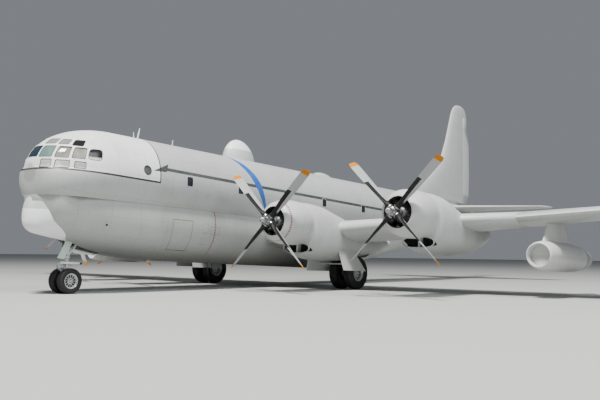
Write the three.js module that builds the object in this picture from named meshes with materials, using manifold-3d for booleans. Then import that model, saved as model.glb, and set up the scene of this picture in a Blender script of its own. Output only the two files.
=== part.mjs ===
// A four-engine piston transport aircraft with two jet pods, parked on its gear, at half size.
// Its fuselage is a double bubble: a wide upper lobe for the deck stands on a narrower lower lobe.
import * as THREE from 'three';
import { mergeVertices } from 'three/addons/utils/BufferGeometryUtils.js';
import Module from 'manifold-3d';

const wasm = await Module();
wasm.setup();

// Lengths are the full-size aircraft's, in millimetres, and the outermost group halves them.
// They are measured along the fuselage, which stands nose up by STANCE when parked.
// +X is forward, +Y is port, +Z is up. A station is the distance aft of the nose.
const MODEL_SCALE = 1 / 2;
const LENGTH = 33620;
const SPAN = 43050;
const GAP = 2;
const SWING_GAP = 16;
const END_GAP = 50;
const degrees = Math.PI / 180;

// Fuselage
const UPPER_RADIUS = 1676;
const UPPER_CENTRE = 4270;
const LOWER_RADIUS = 1480;
const LOWER_CENTRE = 2690;
const DECK = 3290;
const WALL = 90;
const NOSE_WALL = 50;
const AFT_WALL = 56;
const NOSE_LENGTH = 3000;
const NOSE_BREAK = 4470;
const MID_BREAK = 15900;
const TAIL_BREAK = 25300;
const TAIL_END = 33530;
const LOWER_FRONT = 50;
const LOWER_BREAK = 13900;
const LOWER_END = 26300;
const FLIGHT_DECK = 3700;
const FUSELAGE_SIDES = 28;

// Wing
const WING_ROOT_LEADING = 10480;
const WING_SWEEP = 7.9 * degrees;
const WING_TWIST = 2.5 * degrees;
const WING_DIHEDRAL = 4.1 * degrees;
const WING_ROOT_HEIGHT = 2330;
const WING_ROOT_CHORD = 5300;
const WING_TIP_CHORD = 2260;
const WING_ROOT_THICKNESS = 0.215;
const WING_TIP_THICKNESS = 0.1;
const WING_JOINT = 12350;
const FLAP_HINGE = 0.77;
const AILERON_HINGE = 0.75;

// Engines
const INBOARD = 4340;
const OUTBOARD = 9550;
const INBOARD_PROP = 7640;
const OUTBOARD_PROP = 8310;
const INBOARD_AXIS = 2900;
const OUTBOARD_AXIS = 3165;
const PROP_RADIUS = 2590;
const COWL_RADIUS = 880;

// Jet pods
const POD_SPAN = 13200;
const POD_FRONT = 12230;
const POD_AXIS = 1835;
const POD_RADIUS = 550;

// Gear
const MAIN_AXLE = 13060;
const MAIN_TYRE = 711;
const MAIN_FOOT = 297;
const MAIN_TYRE_WIDTH = 410;
const MAIN_WHEEL_SPACING = 760;
const NOSE_AXLE = 1700;
const NOSE_TYRE = 457;
const NOSE_FOOT = -100;
const NOSE_TYRE_WIDTH = 290;
const NOSE_WHEEL_SPACING = 520;
const STANCE = Math.atan((MAIN_FOOT - NOSE_FOOT) / (MAIN_AXLE - NOSE_AXLE));

// Tail
const FIN_TOP = 12640;
const TAILPLANE_HALF = 6430;
const TAILPLANE_HEIGHT = 5510;
const RUDDER_FOOT = 6020;
const RUDDER_HEAD = 11950;

const material = (color, roughness, metalness) =>
  new THREE.MeshStandardMaterial({ color, roughness, metalness });
const GREY_PAINT = material(0xbfc4c5, 0.45, 0.1);
const WHITE_PAINT = material(0xdfe2e2, 0.4, 0.1);
const RADOME_WHITE = material(0xe6e8e8, 0.5, 0);
const DARK_METAL = material(0x2b2c2e, 0.6, 0.5);
const BARE_METAL = material(0xa7aaad, 0.35, 0.9);
const BLADE_PAINT = material(0x9a9c9c, 0.5, 0.2);
const RUBBER = material(0x1b1b1c, 0.85, 0);
const GLASS = material(0x5b6b73, 0.08, 0);
const CABIN_GREEN = material(0x7c8474, 0.7, 0);
const SEAT_CLOTH = material(0x4a4f3f, 0.9, 0);

const aircraft = new THREE.Group();
aircraft.scale.setScalar(MODEL_SCALE);

const station = (s) => LENGTH / 2 - s;
const lerp = (a, b, t) => a + (b - a) * t;

// Meshes and solids

// A closed skin over rings that have equal numbers of points, each end fanned to a point.
function loft(rings, startPoint, endPoint) {
  const count = rings[0].length;
  const centre = (ring) =>
    ring.reduce((sum, p) => sum.add(p), new THREE.Vector3()).divideScalar(ring.length);
  const points = [...rings.flat(), startPoint ?? centre(rings[0]), endPoint ?? centre(rings.at(-1))];
  const first = points.length - 2;
  const last = points.length - 1;
  const faces = [];
  for (let k = 0; k < rings.length - 1; k += 1) {
    for (let i = 0; i < count; i += 1) {
      const j = (i + 1) % count;
      const a = k * count;
      const b = a + count;
      faces.push(a + i, a + j, b + j, a + i, b + j, b + i);
    }
  }
  const tail = (rings.length - 1) * count;
  for (let i = 0; i < count; i += 1) {
    const j = (i + 1) % count;
    faces.push(first, j, i, last, tail + i, tail + j);
  }
  return facingOut(points, faces);
}

// Turns the faces round where the volume they enclose comes out negative.
function facingOut(points, faces) {
  let volume = 0;
  for (let f = 0; f < faces.length; f += 3) {
    const [a, b, c] = [points[faces[f]], points[faces[f + 1]], points[faces[f + 2]]];
    volume += a.dot(new THREE.Vector3().crossVectors(b, c));
  }
  const ordered = volume < 0 ? faces.slice().reverse() : faces;
  const geometry = new THREE.BufferGeometry();
  geometry.setAttribute('position', new THREE.Float32BufferAttribute(points.flatMap((p) => p.toArray()), 3));
  geometry.setIndex(ordered);
  return geometry;
}

function solid(geometry) {
  const bare = geometry.clone();
  bare.deleteAttribute('normal');
  bare.deleteAttribute('uv');
  const merged = mergeVertices(bare, 0.001);
  return new wasm.Manifold(new wasm.Mesh({
    numProp: 3,
    vertProperties: new Float32Array(merged.attributes.position.array),
    triVerts: new Uint32Array(merged.index.array),
  }));
}

function geometryOf(body) {
  const mesh = body.getMesh();
  const geometry = new THREE.BufferGeometry();
  geometry.setAttribute('position', new THREE.BufferAttribute(new Float32Array(mesh.vertProperties), 3));
  geometry.setIndex(new THREE.BufferAttribute(new Uint32Array(mesh.triVerts), 1));
  return geometry;
}

function placed(geometry, x, y, z, turnX = 0, turnY = 0, turnZ = 0) {
  const turn = new THREE.Euler(turnX, turnY, turnZ);
  const matrix = new THREE.Matrix4().makeRotationFromEuler(turn).setPosition(x, y, z);
  return geometry.clone().applyMatrix4(matrix);
}

function joined(...bodies) {
  return bodies.reduce((sum, next) => sum.add(next));
}

function cutBy(body, ...tools) {
  return tools.reduce((rest, tool) => rest.subtract(tool), body);
}

// The same body on the other side of the centreline.
function mirrored(body) {
  const geometry = geometryOf(body);
  const position = geometry.attributes.position;
  for (let i = 0; i < position.count; i += 1) {
    position.setY(i, -position.getY(i));
  }
  geometry.setIndex([...geometry.index.array].reverse());
  return solid(geometry);
}

// A box between two stations, two places across and two heights.
function block(aft, fore, y0, y1, z0, z1) {
  const box = new THREE.BoxGeometry(Math.abs(aft - fore), y1 - y0, z1 - z0);
  return solid(placed(box, station((aft + fore) / 2), (y0 + y1) / 2, (z0 + z1) / 2));
}

// A round bar between two points, given as [station, y, z].
function bar(from, to, radius, sides = 12, endRadius = radius) {
  const a = new THREE.Vector3(station(from[0]), from[1], from[2]);
  const b = new THREE.Vector3(station(to[0]), to[1], to[2]);
  const along = b.clone().sub(a);
  const geometry = new THREE.CylinderGeometry(endRadius, radius, along.length(), sides);
  const upright = new THREE.Vector3(0, 1, 0);
  geometry.applyQuaternion(new THREE.Quaternion().setFromUnitVectors(upright, along.clone().normalize()));
  geometry.translate(...a.add(b).divideScalar(2).toArray());
  return solid(geometry);
}

// A profile of [distance aft, radius] pairs turned about a fore and aft line.
function turned(profile, s, y, z, sides = 24) {
  const points = profile.map(([aft, radius]) => new THREE.Vector2(radius, -aft));
  const lathe = new THREE.LatheGeometry(points, sides);
  lathe.rotateZ(-Math.PI / 2);
  lathe.translate(station(s), y, z);
  const merged = solidPoints(lathe);
  return solid(merged);
}

// Rebuilds a surface of revolution from its merged points so that its faces point out.
function solidPoints(geometry) {
  const bare = geometry.clone();
  bare.deleteAttribute('normal');
  bare.deleteAttribute('uv');
  const merged = mergeVertices(bare, 0.01);
  const position = merged.attributes.position;
  const points = [];
  for (let i = 0; i < position.count; i += 1) {
    points.push(new THREE.Vector3().fromBufferAttribute(position, i));
  }
  const faces = [];
  const index = merged.index.array;
  for (let f = 0; f < index.length; f += 3) {
    const [a, b, c] = [index[f], index[f + 1], index[f + 2]];
    if (a !== b && b !== c && c !== a) faces.push(a, b, c);
  }
  return facingOut(points, faces);
}

function add(name, body, finish) {
  const mesh = new THREE.Mesh(geometryOf(body), finish);
  mesh.name = name;
  aircraft.add(mesh);
  return mesh;
}

// Adds a body at a place of its own, so that its mesh stands at the origin of its axis.
function addAt(name, body, finish, x, y, z) {
  const mesh = add(name, body, finish);
  mesh.geometry.translate(-x, -y, -z);
  mesh.position.set(x, y, z);
  return mesh;
}

// Fuselage shapes

function circle(s, centre, radius, sides = FUSELAGE_SIDES) {
  return Array.from({ length: sides }, (_, i) => {
    const angle = (i / sides) * 2 * Math.PI;
    return new THREE.Vector3(station(s), radius * Math.cos(angle), centre + radius * Math.sin(angle));
  });
}

// An upright ring between a top and a bottom, fuller than an ellipse.
function roundedRing(s, top, bottom, half) {
  const sides = 18;
  const power = 2 / 2.3;
  const bulge = (value) => Math.sign(value) * Math.abs(value) ** power;
  return Array.from({ length: sides }, (_, i) => {
    const angle = (i / sides) * 2 * Math.PI;
    return new THREE.Vector3(station(s), half * bulge(Math.cos(angle)),
      (top + bottom) / 2 + ((top - bottom) / 2) * bulge(Math.sin(angle)));
  });
}

// The nose bulges more below its middle: its meridians are superellipses whose power grows there.
function noseRing(s, shrink) {
  return Array.from({ length: FUSELAGE_SIDES }, (_, i) => {
    const angle = (i / FUSELAGE_SIDES) * 2 * Math.PI;
    const rise = Math.sin(angle);
    const power = 2.3 - 0.25 * Math.max(0, rise) + 1.8 * Math.max(0, -rise) ** 0.6;
    const along = (NOSE_LENGTH - s) / (NOSE_LENGTH - shrink);
    const radius = (UPPER_RADIUS - shrink) * (1 - along ** power) ** (1 / power);
    return new THREE.Vector3(station(s), radius * Math.cos(angle), UPPER_CENTRE + radius * Math.sin(angle));
  });
}

function noseBody(shrink, end) {
  const fractions = [0.004, 0.03, 0.1, 0.2, 0.33, 0.5, 0.7, 0.999];
  const rings = fractions.map((f) => noseRing(shrink + (NOSE_LENGTH - shrink) * f, shrink));
  const back = circle(end, UPPER_CENTRE, UPPER_RADIUS - shrink);
  return solid(loft([...rings, back], new THREE.Vector3(station(shrink), 0, UPPER_CENTRE)));
}

// Columns: station, centre height, radius
const UPPER_SECTIONS = [
  [NOSE_LENGTH, UPPER_CENTRE, UPPER_RADIUS],
  [21500, UPPER_CENTRE, UPPER_RADIUS],
  [24000, 4310, 1630],
  [26000, 4420, 1500],
  [28000, 4630, 1270],
  [30000, 4900, 980],
  [31700, 5150, 690],
  [32800, 5350, 430],
  [TAIL_END, 5460, 230],
];
const LOWER_SECTIONS = [
  [LOWER_FRONT, 3250, 300],
  [230, 3250, 540],
  [410, 3250, 810],
  [610, 3200, 1045],
  [870, 3120, 1130],
  [1320, 3000, 1165],
  [1600, 2960, 1260],
  [2400, 2850, 1390],
  [3500, 2750, 1450],
  [5000, LOWER_CENTRE, LOWER_RADIUS],
  [17200, LOWER_CENTRE, LOWER_RADIUS],
  [18800, 2860, 1420],
  [20500, 3160, 1380],
  [22500, 3520, 1350],
  [24500, 3910, 1350],
  [LOWER_END, 4250, 1300],
];

function sectionAt(table, s) {
  const next = Math.max(1, table.findIndex((row) => row[0] >= s));
  const [a, b] = [table[next - 1], table[next]];
  const t = (s - a[0]) / (b[0] - a[0]);
  return [s, lerp(a[1], b[1], t), lerp(a[2], b[2], t)];
}

function lobe(table, from, to, grow) {
  const inside = table.filter((row) => row[0] > from + 1 && row[0] < to - 1);
  const rows = [sectionAt(table, from), ...inside, sectionAt(table, to)];
  return solid(loft(rows.map(([s, centre, radius]) => circle(s, centre, radius + grow))));
}

const FAR = 30000;
const aboveDeck = block(-FAR, FAR, -FAR, FAR, DECK + GAP / 2, FAR);
const belowDeck = block(-FAR, FAR, -FAR, FAR, -FAR, DECK - GAP / 2);

// Lifting surfaces

// Half the thickness of a wing section at a fraction of its chord, with a blunt trailing edge.
function halfThickness(f, ratio, chord) {
  const curve = 0.2969 * Math.sqrt(f) - 0.126 * f - 0.3516 * f ** 2 + 0.2843 * f ** 3 - 0.1036 * f ** 4;
  return 5 * ratio * chord * curve + 12 * f;
}

const SECTION_FRACTIONS = [1, 0.8, 0.6, 0.4, 0.2, 0.08, 0.02, 0];

// A whole section: over the top from the trailing edge to the nose and back underneath.
function wholeSection(plan, place, grow = 0) {
  const { leading, chord, ratio } = plan(place);
  const top = SECTION_FRACTIONS.map((f) =>
    [leading + f * chord + (f === 1 ? grow : 0), halfThickness(f, ratio, chord) + grow]);
  const under = top.slice(0, -1).reverse().map(([s, half]) => [s, -half]);
  const nose = [leading - grow, 0];
  return [...top.slice(0, -1), nose, ...under];
}

// A moving surface's section: a round nose about its hinge, then flat sides to the trailing edge.
function movingSection(plan, place, hinge) {
  const { leading, chord, ratio } = plan(place);
  const radius = halfThickness(hinge, ratio, chord);
  const centre = leading + hinge * chord;
  const nose = Array.from({ length: 7 }, (_, i) => {
    const angle = Math.PI / 2 + (i / 6) * Math.PI;
    return [centre + radius * Math.cos(angle), radius * Math.sin(angle)];
  });
  const end = halfThickness(1, ratio, chord);
  return [...nose, [leading + chord, -end], [leading + chord, end]];
}

// The room that a moving surface needs in what carries it.
function pocketSection(plan, place, hinge) {
  const { leading, chord, ratio } = plan(place);
  const radius = halfThickness(hinge, ratio, chord);
  const front = leading + hinge * chord - radius - SWING_GAP;
  return [[front, 1500], [front, -1500], [leading + chord + 800, -1500], [leading + chord + 800, 1500]];
}

const wingPlan = (y) => {
  const t = y / (SPAN / 2);
  const round = Math.max(0, (y - (SPAN / 2 - 900)) / 900);
  const chord = lerp(WING_ROOT_CHORD, WING_TIP_CHORD, t);
  const lost = 0.55 * chord * (1 - Math.sqrt(Math.max(0, 1 - round ** 2)));
  return {
    leading: WING_ROOT_LEADING + Math.tan(WING_SWEEP) * y + lost * 0.5,
    chord: chord - lost,
    ratio: lerp(WING_ROOT_THICKNESS, WING_TIP_THICKNESS, t),
  };
};

const wingHeight = (y) => WING_ROOT_HEIGHT + Math.tan(WING_DIHEDRAL) * y;

// The inner wing is set nose up about its flap hinge, and the twist is gone by the joint.
const wingTwist = (y) => WING_TWIST * Math.min(1, Math.max(0, (WING_JOINT - y) / (WING_JOINT - OUTBOARD)));

function wingSpan(places, section) {
  return solid(loft(places.map((y) => {
    const { leading, chord } = wingPlan(y);
    const hinge = leading + FLAP_HINGE * chord;
    const slope = Math.tan(wingTwist(y));
    return section(y).map(([s, up]) =>
      new THREE.Vector3(station(s), y, wingHeight(y) + up + (hinge - s) * slope));
  })));
}

const tailPlan = (y) => {
  const t = (Math.abs(y)) / TAILPLANE_HALF;
  const round = Math.max(0, (Math.abs(y) - (TAILPLANE_HALF - 500)) / 500);
  const lost = round > 0 ? (1 - Math.sqrt(Math.max(0, 1 - round ** 2))) * 700 : 0;
  return {
    leading: lerp(29400, 30800, t) + lost,
    chord: lerp(3650, 1280, t) - lost * 1.4,
    ratio: lerp(0.11, 0.09, t),
  };
};

function tailSpan(places, section) {
  return solid(loft(places.map((y) =>
    section(y).map(([s, up]) => new THREE.Vector3(station(s), y, TAILPLANE_HEIGHT + up)))));
}

// Columns: height, leading edge station, trailing edge station
const FIN_ROWS = [
  [5300, 23600, 32950],
  [6100, 25150, 33150],
  [6720, 26400, 33250],
  [7340, 27500, 33280],
  [8150, 28620, 33290],
  [8920, 29330, 33270],
  [9930, 29820, 33190],
  [11020, 30220, 33040],
  [11950, 30560, 32790],
  [12350, 30830, 32600],
  [12560, 31150, 32350],
  [FIN_TOP, 31550, 32000],
];
const finPlan = (z) => {
  const next = Math.max(1, FIN_ROWS.findIndex((row) => row[0] >= z));
  const [a, b] = [FIN_ROWS[next - 1], FIN_ROWS[next]];
  const t = (z - a[0]) / (b[0] - a[0]);
  const leading = lerp(a[1], b[1], t);
  const chord = lerp(a[2], b[2], t) - leading;
  return { leading, chord, ratio: Math.min(0.1, 420 / chord) };
};

function finSpan(heights, section) {
  return solid(loft(heights.map((z) =>
    section(z).map(([s, across]) => new THREE.Vector3(station(s), across, z)))));
}

// Fuselage

const upperGrown = lobe(UPPER_SECTIONS, NOSE_LENGTH, TAIL_END, GAP);
const lowerGrown = lobe(LOWER_SECTIONS, LOWER_FRONT, LOWER_END, GAP);
const upperWhole = lobe(UPPER_SECTIONS, NOSE_LENGTH, TAIL_END, 0);
const upperHollow = lobe(UPPER_SECTIONS, NOSE_LENGTH, TAIL_BREAK - 400, -WALL);

// Cockpit windows. Columns: from and to, in degrees round from straight ahead, then low and high.
const WINDOWS = [
  [-5.5, 5.5, 4645, 5035],
  [6.9, 16.2, 4630, 5027],
  [18, 27.2, 4625, 5017],
  [29, 38.8, 4625, 5012],
  [40.8, 51.2, 4620, 5012],
  [51.1, 54.3, 4690, 4950],
  [5.6, 12.6, 5130, 5316],
  [16.1, 24, 5107, 5304],
  [25.9, 35.2, 5095, 5309],
  [10.2, 17.2, 4235, 4513],
  [20, 28.5, 4232, 4500],
  [31.9, 40.1, 4260, 4488],
];

// Each window is a wedge that looks out from the middle of the nose.
function windowWedge([from, to, low, high], side) {
  const near = 500;
  const far = 3200;
  const corner = (angle, reach, z) => new THREE.Vector3(
    station(NOSE_LENGTH) + reach * Math.cos(angle * degrees),
    side * reach * Math.sin(angle * degrees),
    z,
  );
  const ring = (reach) => [
    corner(from, reach, low), corner(to, reach, low), corner(to, reach, high), corner(from, reach, high),
  ];
  return solid(loft([ring(near), ring(far)]));
}

const windowCuts = WINDOWS.flatMap((row) =>
  (row[0] < 0 ? [windowWedge(row, 1)] : [windowWedge(row, 1), windowWedge(row, -1)]));
const ROUND_WINDOW = [3820, 4530, 150];
const roundWindow = bar([ROUND_WINDOW[0], -2500, ROUND_WINDOW[1]], [ROUND_WINDOW[0], 2500, ROUND_WINDOW[1]],
  ROUND_WINDOW[2], 16);

const noseSkin = noseBody(0, NOSE_BREAK - GAP / 2);
const noseInside = noseBody(NOSE_WALL, NOSE_BREAK + 50);
add('nose_shell', cutBy(noseSkin, noseInside, ...windowCuts, roundWindow).intersect(aboveDeck), WHITE_PAINT);

// The glazing is a thin skin inside the openings, of the nose's own shape.
const GLASS_OUT = NOSE_WALL + GAP;
const GLASS_IN = GLASS_OUT + 24;
const GLAZING_END = NOSE_BREAK - 350;
const glazing = noseBody(GLASS_OUT, GLAZING_END).subtract(noseBody(GLASS_IN, GLAZING_END + 50));
add('cockpit_glazing', glazing.intersect(block(FAR, -FAR, -FAR, FAR, 4180, 5420)), GLASS);

const DOME = [10350, 950, 870];
const LOW_DOME = [16550, 850, 170];
function crownDome([s, half, height]) {
  const sphere = new THREE.SphereGeometry(1, 16, 10);
  sphere.rotateX(Math.PI / 2);
  sphere.scale(half, half * 0.55, height + 260);
  sphere.translate(station(s), 0, UPPER_CENTRE + UPPER_RADIUS - 260);
  return solid(sphere);
}

const CARGO_DOOR = [5150, 7250, 3370, 5250];
const cargoHole = block(CARGO_DOOR[0], CARGO_DOOR[1], -FAR, -600, CARGO_DOOR[2], CARGO_DOOR[3]);
const upperShell = upperWhole.subtract(upperHollow);
const forwardShell = joined(upperShell, crownDome(DOME).subtract(upperHollow));
add('upper_fuselage_forward', forwardShell
  .intersect(block(NOSE_BREAK + GAP / 2, MID_BREAK - GAP / 2, -FAR, FAR, DECK + GAP / 2, FAR))
  .subtract(cargoHole), GREY_PAINT);
const aftHollow = lobe(UPPER_SECTIONS, NOSE_LENGTH, TAIL_BREAK + 50, -AFT_WALL);
add('upper_fuselage_aft', joined(upperWhole, crownDome(LOW_DOME)).subtract(aftHollow)
  .intersect(block(MID_BREAK + GAP / 2, TAIL_BREAK - GAP / 2, -FAR, FAR, DECK + GAP / 2, FAR)), GREY_PAINT);

const cargoPanel = upperShell.intersect(block(
  CARGO_DOOR[0] + SWING_GAP, CARGO_DOOR[1] - SWING_GAP, -FAR, -600,
  CARGO_DOOR[2] + SWING_GAP, CARGO_DOOR[3] - SWING_GAP,
));
add('cargo_door', cargoPanel, GREY_PAINT);

// Tail cone, with the tailplane's slot through it
const TIP_PLACES = [500, 250, 80, 0].map((short) => TAILPLANE_HALF - short);
const TAIL_PLACES = [...TIP_PLACES.slice().reverse().map((y) => -y), 0, ...TIP_PLACES];
const tailSlot = tailSpan([-TIP_PLACES[0], 0, TIP_PLACES[0]], (y) => wholeSection(tailPlan, y, GAP * 3));
const TAIL_BULKHEAD = 31600;
add('tail_cone', lobe(UPPER_SECTIONS, TAIL_BREAK + GAP / 2, TAIL_END, 0)
  .subtract(lobe(UPPER_SECTIONS, TAIL_BREAK - 50, TAIL_BULKHEAD, -AFT_WALL))
  .subtract(tailSlot), GREY_PAINT);

// Lower lobe: nose gear bay, entry vestibule and door
const NOSE_BAY = [1350, 2900, 300, 2500];
const noseBay = block(NOSE_BAY[0], NOSE_BAY[1], -NOSE_BAY[2], NOSE_BAY[2], -FAR, NOSE_BAY[3]);
const CREW_DOOR = [5360, 6380, 1640, 2830];
const vestibule = block(CREW_DOOR[0] - 150, CREW_DOOR[1] + 250, 150, LOWER_RADIUS * 0.86, 1600, 2900);
const crewHole = block(CREW_DOOR[0], CREW_DOOR[1], 900, FAR, CREW_DOOR[2], CREW_DOOR[3]);
const lowerTail = lobe(LOWER_SECTIONS, LOWER_FRONT, LOWER_END, 0)
  .subtract(upperGrown.intersect(block(TAIL_BREAK, FAR, -FAR, FAR, -FAR, FAR)));

// The radome is a chin under the nose. Columns: station, top, bottom, half width
const RADOME_ROWS = [
  [-85, 2750, 2350, 70],
  [-50, 2950, 2230, 200],
  [90, 3300, 2080, 360],
  [290, 3600, 1995, 590],
  [600, 3700, 1935, 760],
  [1000, 3700, 1875, 850],
  [1500, 3700, 1800, 850],
  [1900, 3700, 1750, 650],
];
const radomeBody = solid(loft(RADOME_ROWS.map((row) => roundedRing(...row))));
const lowerNose = lobe(LOWER_SECTIONS, LOWER_FRONT, LOWER_BREAK - GAP / 2, 0).intersect(belowDeck);

// The hold under the deck is open where the two lower halves meet.
const LOWER_HOLD_END = 25000;
const DECK_THICKNESS = 70;
const lowerHold = lobe(LOWER_SECTIONS, LOWER_BREAK - 50, LOWER_HOLD_END, -AFT_WALL)
  .intersect(block(LOWER_BREAK - 100, TAIL_BREAK - 200, -FAR, FAR, -FAR, DECK - DECK_THICKNESS));

// Wing
const INNER_PLACES = [900, INBOARD, OUTBOARD, WING_JOINT - GAP / 2];
const TIP = SPAN / 2;
const OUTER_PLACES = [WING_JOINT + GAP / 2, TIP - 900, TIP - 500, TIP - 220, TIP - 60, TIP];
const FLAPS = [[1980, 3700], [5020, 9000], [10450, 12150]];
const AILERON = [12650, 20350];

function pocket(y0, y1, hinge) {
  return wingSpan([y0 - END_GAP, y1 + END_GAP], (y) => pocketSection(wingPlan, y, hinge));
}

const innerWing = cutBy(wingSpan(INNER_PLACES, (y) => wholeSection(wingPlan, y)),
  ...FLAPS.map(([y0, y1]) => pocket(y0, y1, FLAP_HINGE)), lowerGrown);
const outerWing = cutBy(wingSpan(OUTER_PLACES, (y) => wholeSection(wingPlan, y)),
  pocket(AILERON[0], AILERON[1], AILERON_HINGE));
const innerGrown = wingSpan(INNER_PLACES, (y) => wholeSection(wingPlan, y, GAP));
const outerGrown = wingSpan(OUTER_PLACES.slice(0, 2), (y) => wholeSection(wingPlan, y, GAP));

// Fuselage's lower halves, cut for the wing
add('lower_fuselage_forward', cutBy(lowerNose, noseBay, vestibule, crewHole), GREY_PAINT);
const chinRoom = lobe(LOWER_SECTIONS, LOWER_FRONT, 6000, GAP);
add('radome', cutBy(radomeBody, chinRoom, chinRoom.translate([GAP, 0, 0])).intersect(belowDeck)
  .intersect(block(-200, 2500, -FAR, FAR, -FAR, FAR)), RADOME_WHITE);
add('lower_fuselage_aft', lowerTail.intersect(block(LOWER_BREAK + GAP / 2, LOWER_END, -FAR, FAR, -FAR, FAR))
  .subtract(block(LOWER_BREAK, TAIL_BREAK, -FAR, FAR, DECK - GAP / 2, FAR))
  .subtract(lowerHold), GREY_PAINT);
const crewPanel = lobe(LOWER_SECTIONS, 5000, 8000, 0).subtract(lobe(LOWER_SECTIONS, 5000, 8000, -80))
  .intersect(block(CREW_DOOR[0] + SWING_GAP, CREW_DOOR[1] - SWING_GAP, 950, FAR,
    CREW_DOOR[2] + SWING_GAP, CREW_DOOR[3] - SWING_GAP));
add('crew_door', crewPanel, GREY_PAINT);

// Flight deck: floor, bulkhead and instrument panel
const cabinInside = noseBody(GLASS_IN + GAP * 2, NOSE_BREAK - 200);
const flightFloor = block(500, NOSE_BREAK - 300, -1600, 1600, FLIGHT_DECK - 60, FLIGHT_DECK);
const panel = block(900, 1010, -900, 900, FLIGHT_DECK - 30, 4560);
const pedestal = block(1000, 1700, -160, 160, FLIGHT_DECK - 30, 4250);
const supports = block(2200, 2300, -500, 500, DECK + GAP, FLIGHT_DECK - 30);
add('flight_deck', joined(flightFloor, panel, pedestal, supports).intersect(cabinInside), CABIN_GREEN);
for (const [name, side] of [['pilot_seat_port', 1], ['pilot_seat_starboard', -1]]) {
  const middle = side * 560;
  const seat = joined(
    block(1750, 2250, middle - 230, middle + 230, FLIGHT_DECK + 380, FLIGHT_DECK + 480),
    block(2230, 2330, middle - 230, middle + 230, FLIGHT_DECK + 380, FLIGHT_DECK + 1180),
    block(1900, 2200, middle - 120, middle + 120, FLIGHT_DECK + GAP / 2, FLIGHT_DECK + 400),
  );
  add(name, seat, SEAT_CLOTH);
}

// Nacelles

// Columns: distance aft of the propeller, top, bottom and half width, from the thrust line.
// The last two tops are measured from the wing instead, inside which they end.
const NACELLE_BODY = [
  [1450, 800, -840, 810],
  [1720, 850, -860, 840],
  [1750, 855, -1230, 800],
  [2100, 860, -1370, 850],
  [2700, 820, -1430, 860],
  [3600, 600, -1420, 790],
  [4700, 260, -1340, 680],
  [5900, 100, -1160, 500],
  [7400, -40, -640, 230],
];
const COWL_PROFILE = [
  [260, 0], [260, 575], [320, 680], [460, 785], [750, 862],
  [1200, COWL_RADIUS], [1600, COWL_RADIUS - 10], [1600, 0],
];
const ENGINE_END = 2700;
const COWL_INSIDE = [[160, 0], [160, 545], [500, 560], [800, 740], [1300, 760],
  [1300, 720], [ENGINE_END, 720], [ENGINE_END, 0]];

// The body behind the cowl. The inboard one is longer, for the gear.
const NACELLE_STRAIGHT = 2400;
const INBOARD_STRETCH = 1.2;
const NACELLE_UNDER_WING = 5000;
function nacelleBody(prop, y, axis, grow) {
  const stretch = y === INBOARD ? INBOARD_STRETCH : 1;
  const rings = NACELLE_BODY.map(([aft, top, bottom, half]) => {
    const place = aft > NACELLE_STRAIGHT ? NACELLE_STRAIGHT + (aft - NACELLE_STRAIGHT) * stretch : aft;
    const roof = aft > NACELLE_UNDER_WING ? top + wingHeight(y) - axis : top;
    return roundedRing(prop + place, roof + grow, bottom - grow, half + grow);
  });
  return solid(placed(loft(rings), 0, y, axis));
}

// The air scoop below the cowl. Columns as above.
const SCOOP = [[1710, -800, -1160, 640], [2200, -820, -1220, 640], [2450, -900, -1160, 480]];

// One nacelle: the cowl and the body behind it, open at the cowl and at the scoop below it.
const GEAR_BAY = [12300, 14050, 430, 2130];
function nacelle(prop, y, axis, hasGear) {
  const body = nacelleBody(prop, y, axis, 0);
  const scoop = solid(placed(loft(SCOOP.map(([aft, top, bottom, half]) =>
    roundedRing(prop + aft, top, bottom, half))), 0, y, axis));
  const cowl = turned(COWL_PROFILE, prop, y, axis, 18);
  const inside = turned(COWL_INSIDE, prop, y, axis, 14);
  const [fore, aft, half, roof] = GEAR_BAY;
  const bay = block(fore, aft, y - half, y + half, -FAR, roof);
  const cuts = [inside, scoop, innerGrown];
  return cutBy(joined(cowl, body), ...(hasGear ? [...cuts, bay] : cuts));
}

const CYLINDERS = 7;
const CYLINDER_ROWS = [[800, 0]];
function engine(prop, y, axis) {
  const crankcase = turned([[300, 0], [300, 130], [560, 270], [640, 330], [1100, 330], [1100, 0]],
    prop, y, axis, 12);
  const cylinders = CYLINDER_ROWS.flatMap(([aft, offset]) => Array.from({ length: CYLINDERS }, (_, i) => {
    const angle = ((i + offset) / CYLINDERS) * 2 * Math.PI;
    const reach = (radius) => [prop + aft, y + radius * Math.sin(angle), axis + radius * Math.cos(angle)];
    return bar(reach(250), reach(620), 100, 6);
  }));
  const rear = turned([[1000, 0], [1000, 690], [ENGINE_END - GAP, 690], [ENGINE_END - GAP, 0]],
    prop, y, axis, 14);
  return joined(crankcase, rear, ...cylinders);
}

// Columns: fraction of the radius, chord, thickness, blade angle in degrees
const BLADE_SECTIONS = [
  [0.075, 190, 180, 86],
  [0.25, 330, 110, 81],
  [0.45, 400, 62, 75],
  [0.75, 400, 40, 68],
  [0.96, 370, 26, 65],
  [1, 290, 20, 64],
];
const BLADES = 4;
const BLADE_POINTS = 6;

function blade() {
  const rings = BLADE_SECTIONS.map(([fraction, chord, thick, angle]) =>
    Array.from({ length: BLADE_POINTS }, (_, i) => {
      const turn = (i / BLADE_POINTS) * 2 * Math.PI;
      const across = (chord / 2) * Math.cos(turn);
      const deep = (thick / 2) * Math.sin(turn);
      const lean = angle * degrees;
      return new THREE.Vector3(
        deep * Math.cos(lean) - across * Math.sin(lean),
        across * Math.cos(lean) + deep * Math.sin(lean),
        fraction * PROP_RADIUS,
      );
    }));
  return loft(rings);
}

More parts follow.
